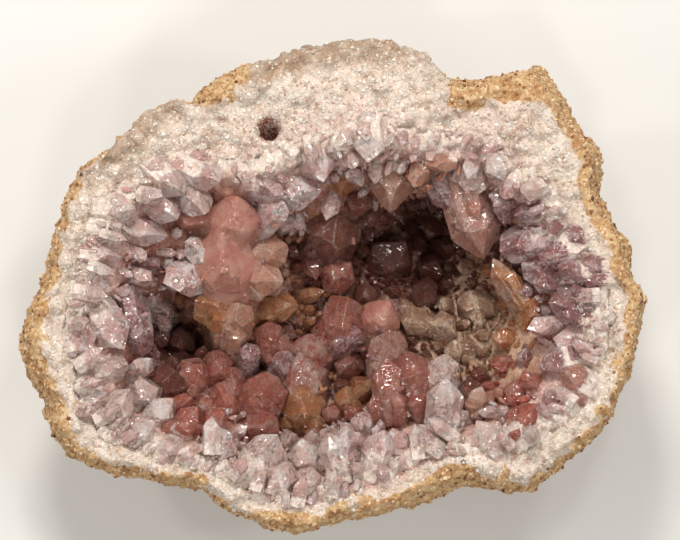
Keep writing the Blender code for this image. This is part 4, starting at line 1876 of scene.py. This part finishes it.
    def _fill(
        self, kind: Generation, clusters: dict[Tone, Cluster], patterns: list[Pattern], bare: np.ndarray
    ) -> None:
        """Stands one generation of crystals in the room that is left.

        Args:
            kind: Their sizes and number.
            clusters: Where they go, by colour.
            patterns: The forms that are copied.
            bare: 1 for every triangle of the crust that shows.
        """
        points, normals = self.crust.scatter(bare, kind.tries, self.rng)
        away, depth = self._crystal_depth(points)
        inset = self.edge.inset(points)
        for k in range(kind.tries):
            if from_pit(points[k]) < self.pit_clear:
                continue
            if away[k] < self.covered and (depth[k] < 4 * MM or self.rng.random() > kind.on_crystals):
                continue
            if away[k] < self.dome_room and nearest_tone(points[k][0], points[k][1]) is Tone.SALMON:
                continue
            if len(self.feet) and np.abs(self.feet - points[k]).max(axis=1).min() < kind.gap:
                continue
            self.feet = np.vstack([self.feet, points[k]])
            rim = 1 - min(max(inset[k] / self.rim_width, 0), 1)
            radius = self.rng.uniform(kind.least, kind.greatest) * (1 - 0.25 * rim)
            inward = np.array([-points[k][0], -points[k][1], 0]) / math.hypot(*points[k][:2])
            about = normals[k] * 0.4 + inward * (0.2 + 1.7 * rim) + np.array([0, 0, 0.5])
            axis, side = random_turn(unit(about), kind.stray, self.rng)
            rise = radius * self.rng.uniform(1.3, 2.3) * (1 + rim)
            seat = Seat(points[k] + axis * rise, axis, side, radius, rise + (3 - 2.4 * rim) * MM)
            tone = self._tone(points[k], 1.6 * MM)
            if not over_pit(seat):
                clusters[tone].add(patterns[k % len(patterns)], seat, float(self.rng.random()))


# ------------------------------------------------------------------------------------ the studio
@dataclass(frozen=True)
class Lamp:
    """One square lamp, with its place and its size in millimetres."""

    name: str
    place: tuple[float, float, float]
    size: float
    power: float
    colour: Colour

    def hang(self) -> None:
        """Hangs the lamp, turned to the object."""
        where = Vector(self.place) * MM
        turn = (Vector((0, 0, 20 * MM)) - where).to_track_quat("-Z", "Y").to_euler()
        lamp = added(bpy.ops.object.light_add, type="AREA", location=where, rotation=turn)
        lamp.name = self.name
        lamp.data.size = self.size * MM
        lamp.data.energy = self.power
        lamp.data.color = self.colour


SPOT_PLACES = (
    (230, 260, 400), (-290, 120, 400), (20, -185, 455), (360, 0, 360), (-150, -300, 380), (80, 160, 480),
)  # fmt: skip
LAMPS = (
    Lamp("key_light", (-60, 330, 430), 110, 1.9, (1.0, 0.97, 0.93)),
    Lamp("fill_light", (330, -260, 420), 200, 0.4, (1.0, 0.98, 0.96)),
    Lamp("left_light", (-460, -60, 300), 170, 0.35, (1.0, 0.98, 0.96)),
    *(Lamp(f"spot_{number}", place, 55, 0.32, (1.0, 0.99, 0.97)) for number, place in enumerate(SPOT_PLACES)),
)


@dataclass
class Studio:
    """A plain pale floor, soft lights and the camera."""

    look_at: tuple[float, float, float] = (1.29 * MM, 3.67 * MM, 25.4 * MM)
    elevation: float = 84.0
    distance: float = 520 * MM
    lens: float = 149.0
    floor_colour: Colour = linear(214, 212, 208)

    def build(self) -> None:
        """Sets everything up round the object."""
        self._floor()
        for lamp in LAMPS:
            lamp.hang()
        world = bpy.data.worlds.new("studio_air")
        world.use_nodes = True
        world.node_tree.nodes["Background"].inputs["Color"].default_value = (1.0, 0.97, 0.94, 1)
        world.node_tree.nodes["Background"].inputs["Strength"].default_value = 0.24
        bpy.context.scene.world = world
        bpy.context.scene.view_settings.view_transform = "Standard"
        self._camera()

    def _floor(self) -> None:
        """Lays the floor."""
        floor = added(bpy.ops.mesh.primitive_plane_add, size=6, location=(0, 0, -0.2 * MM))
        floor.name = "studio_floor"
        graph = Graph("pale_floor")
        shade = graph.cloud(0.4, 2)
        colour = graph.mix(shade * 0.1, self.floor_colour, linear(206, 203, 198))
        floor.data.materials.append(graph.finish(graph.shader(Base_Color=colour, Roughness=0.85)))

    def _camera(self) -> None:
        """Places the camera, looking steeply down."""
        turn = math.radians(self.elevation)
        target = Vector(self.look_at)
        where = target + Vector((0, -math.cos(turn), math.sin(turn))) * self.distance
        look = (target - where).to_track_quat("-Z", "Y").to_euler()
        camera = added(bpy.ops.object.camera_add, location=where, rotation=look)
        camera.data.lens = self.lens
        camera.data.sensor_width = 36
        camera.data.clip_start = 0.01
        bpy.context.scene.camera = camera


def report(piece: bpy.types.Object) -> None:
    """Writes a finished piece to the log."""
    LOG.info("%s: %d faces", piece.name, len(piece.data.polygons))


def main() -> None:
    """Builds every piece in order and reports it."""
    logging.basicConfig(level=logging.INFO, format="%(message)s")
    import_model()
    Studio().build()
    crust, shell = (Facets.of(bpy.data.objects[name]) for name in (CRUST_NODE, SHELL_NODE))
    carver = Rock(RockFinish())
    rock = carver.build()
    report(rock)
    edge = CrustEdge(crust)
    for piece in Grains(carver, Facets.of(rock), edge).build():
        report(piece)
    crystals = CrystalField(crust, shell, edge)
    LOG.info("crystals found on the frame: %d", len(crystals.seats))
    report(CrystalBed(edge, crystals.seats).build())
    for piece in crystals.build():
        report(piece)


if __name__ == "__main__":
    main()
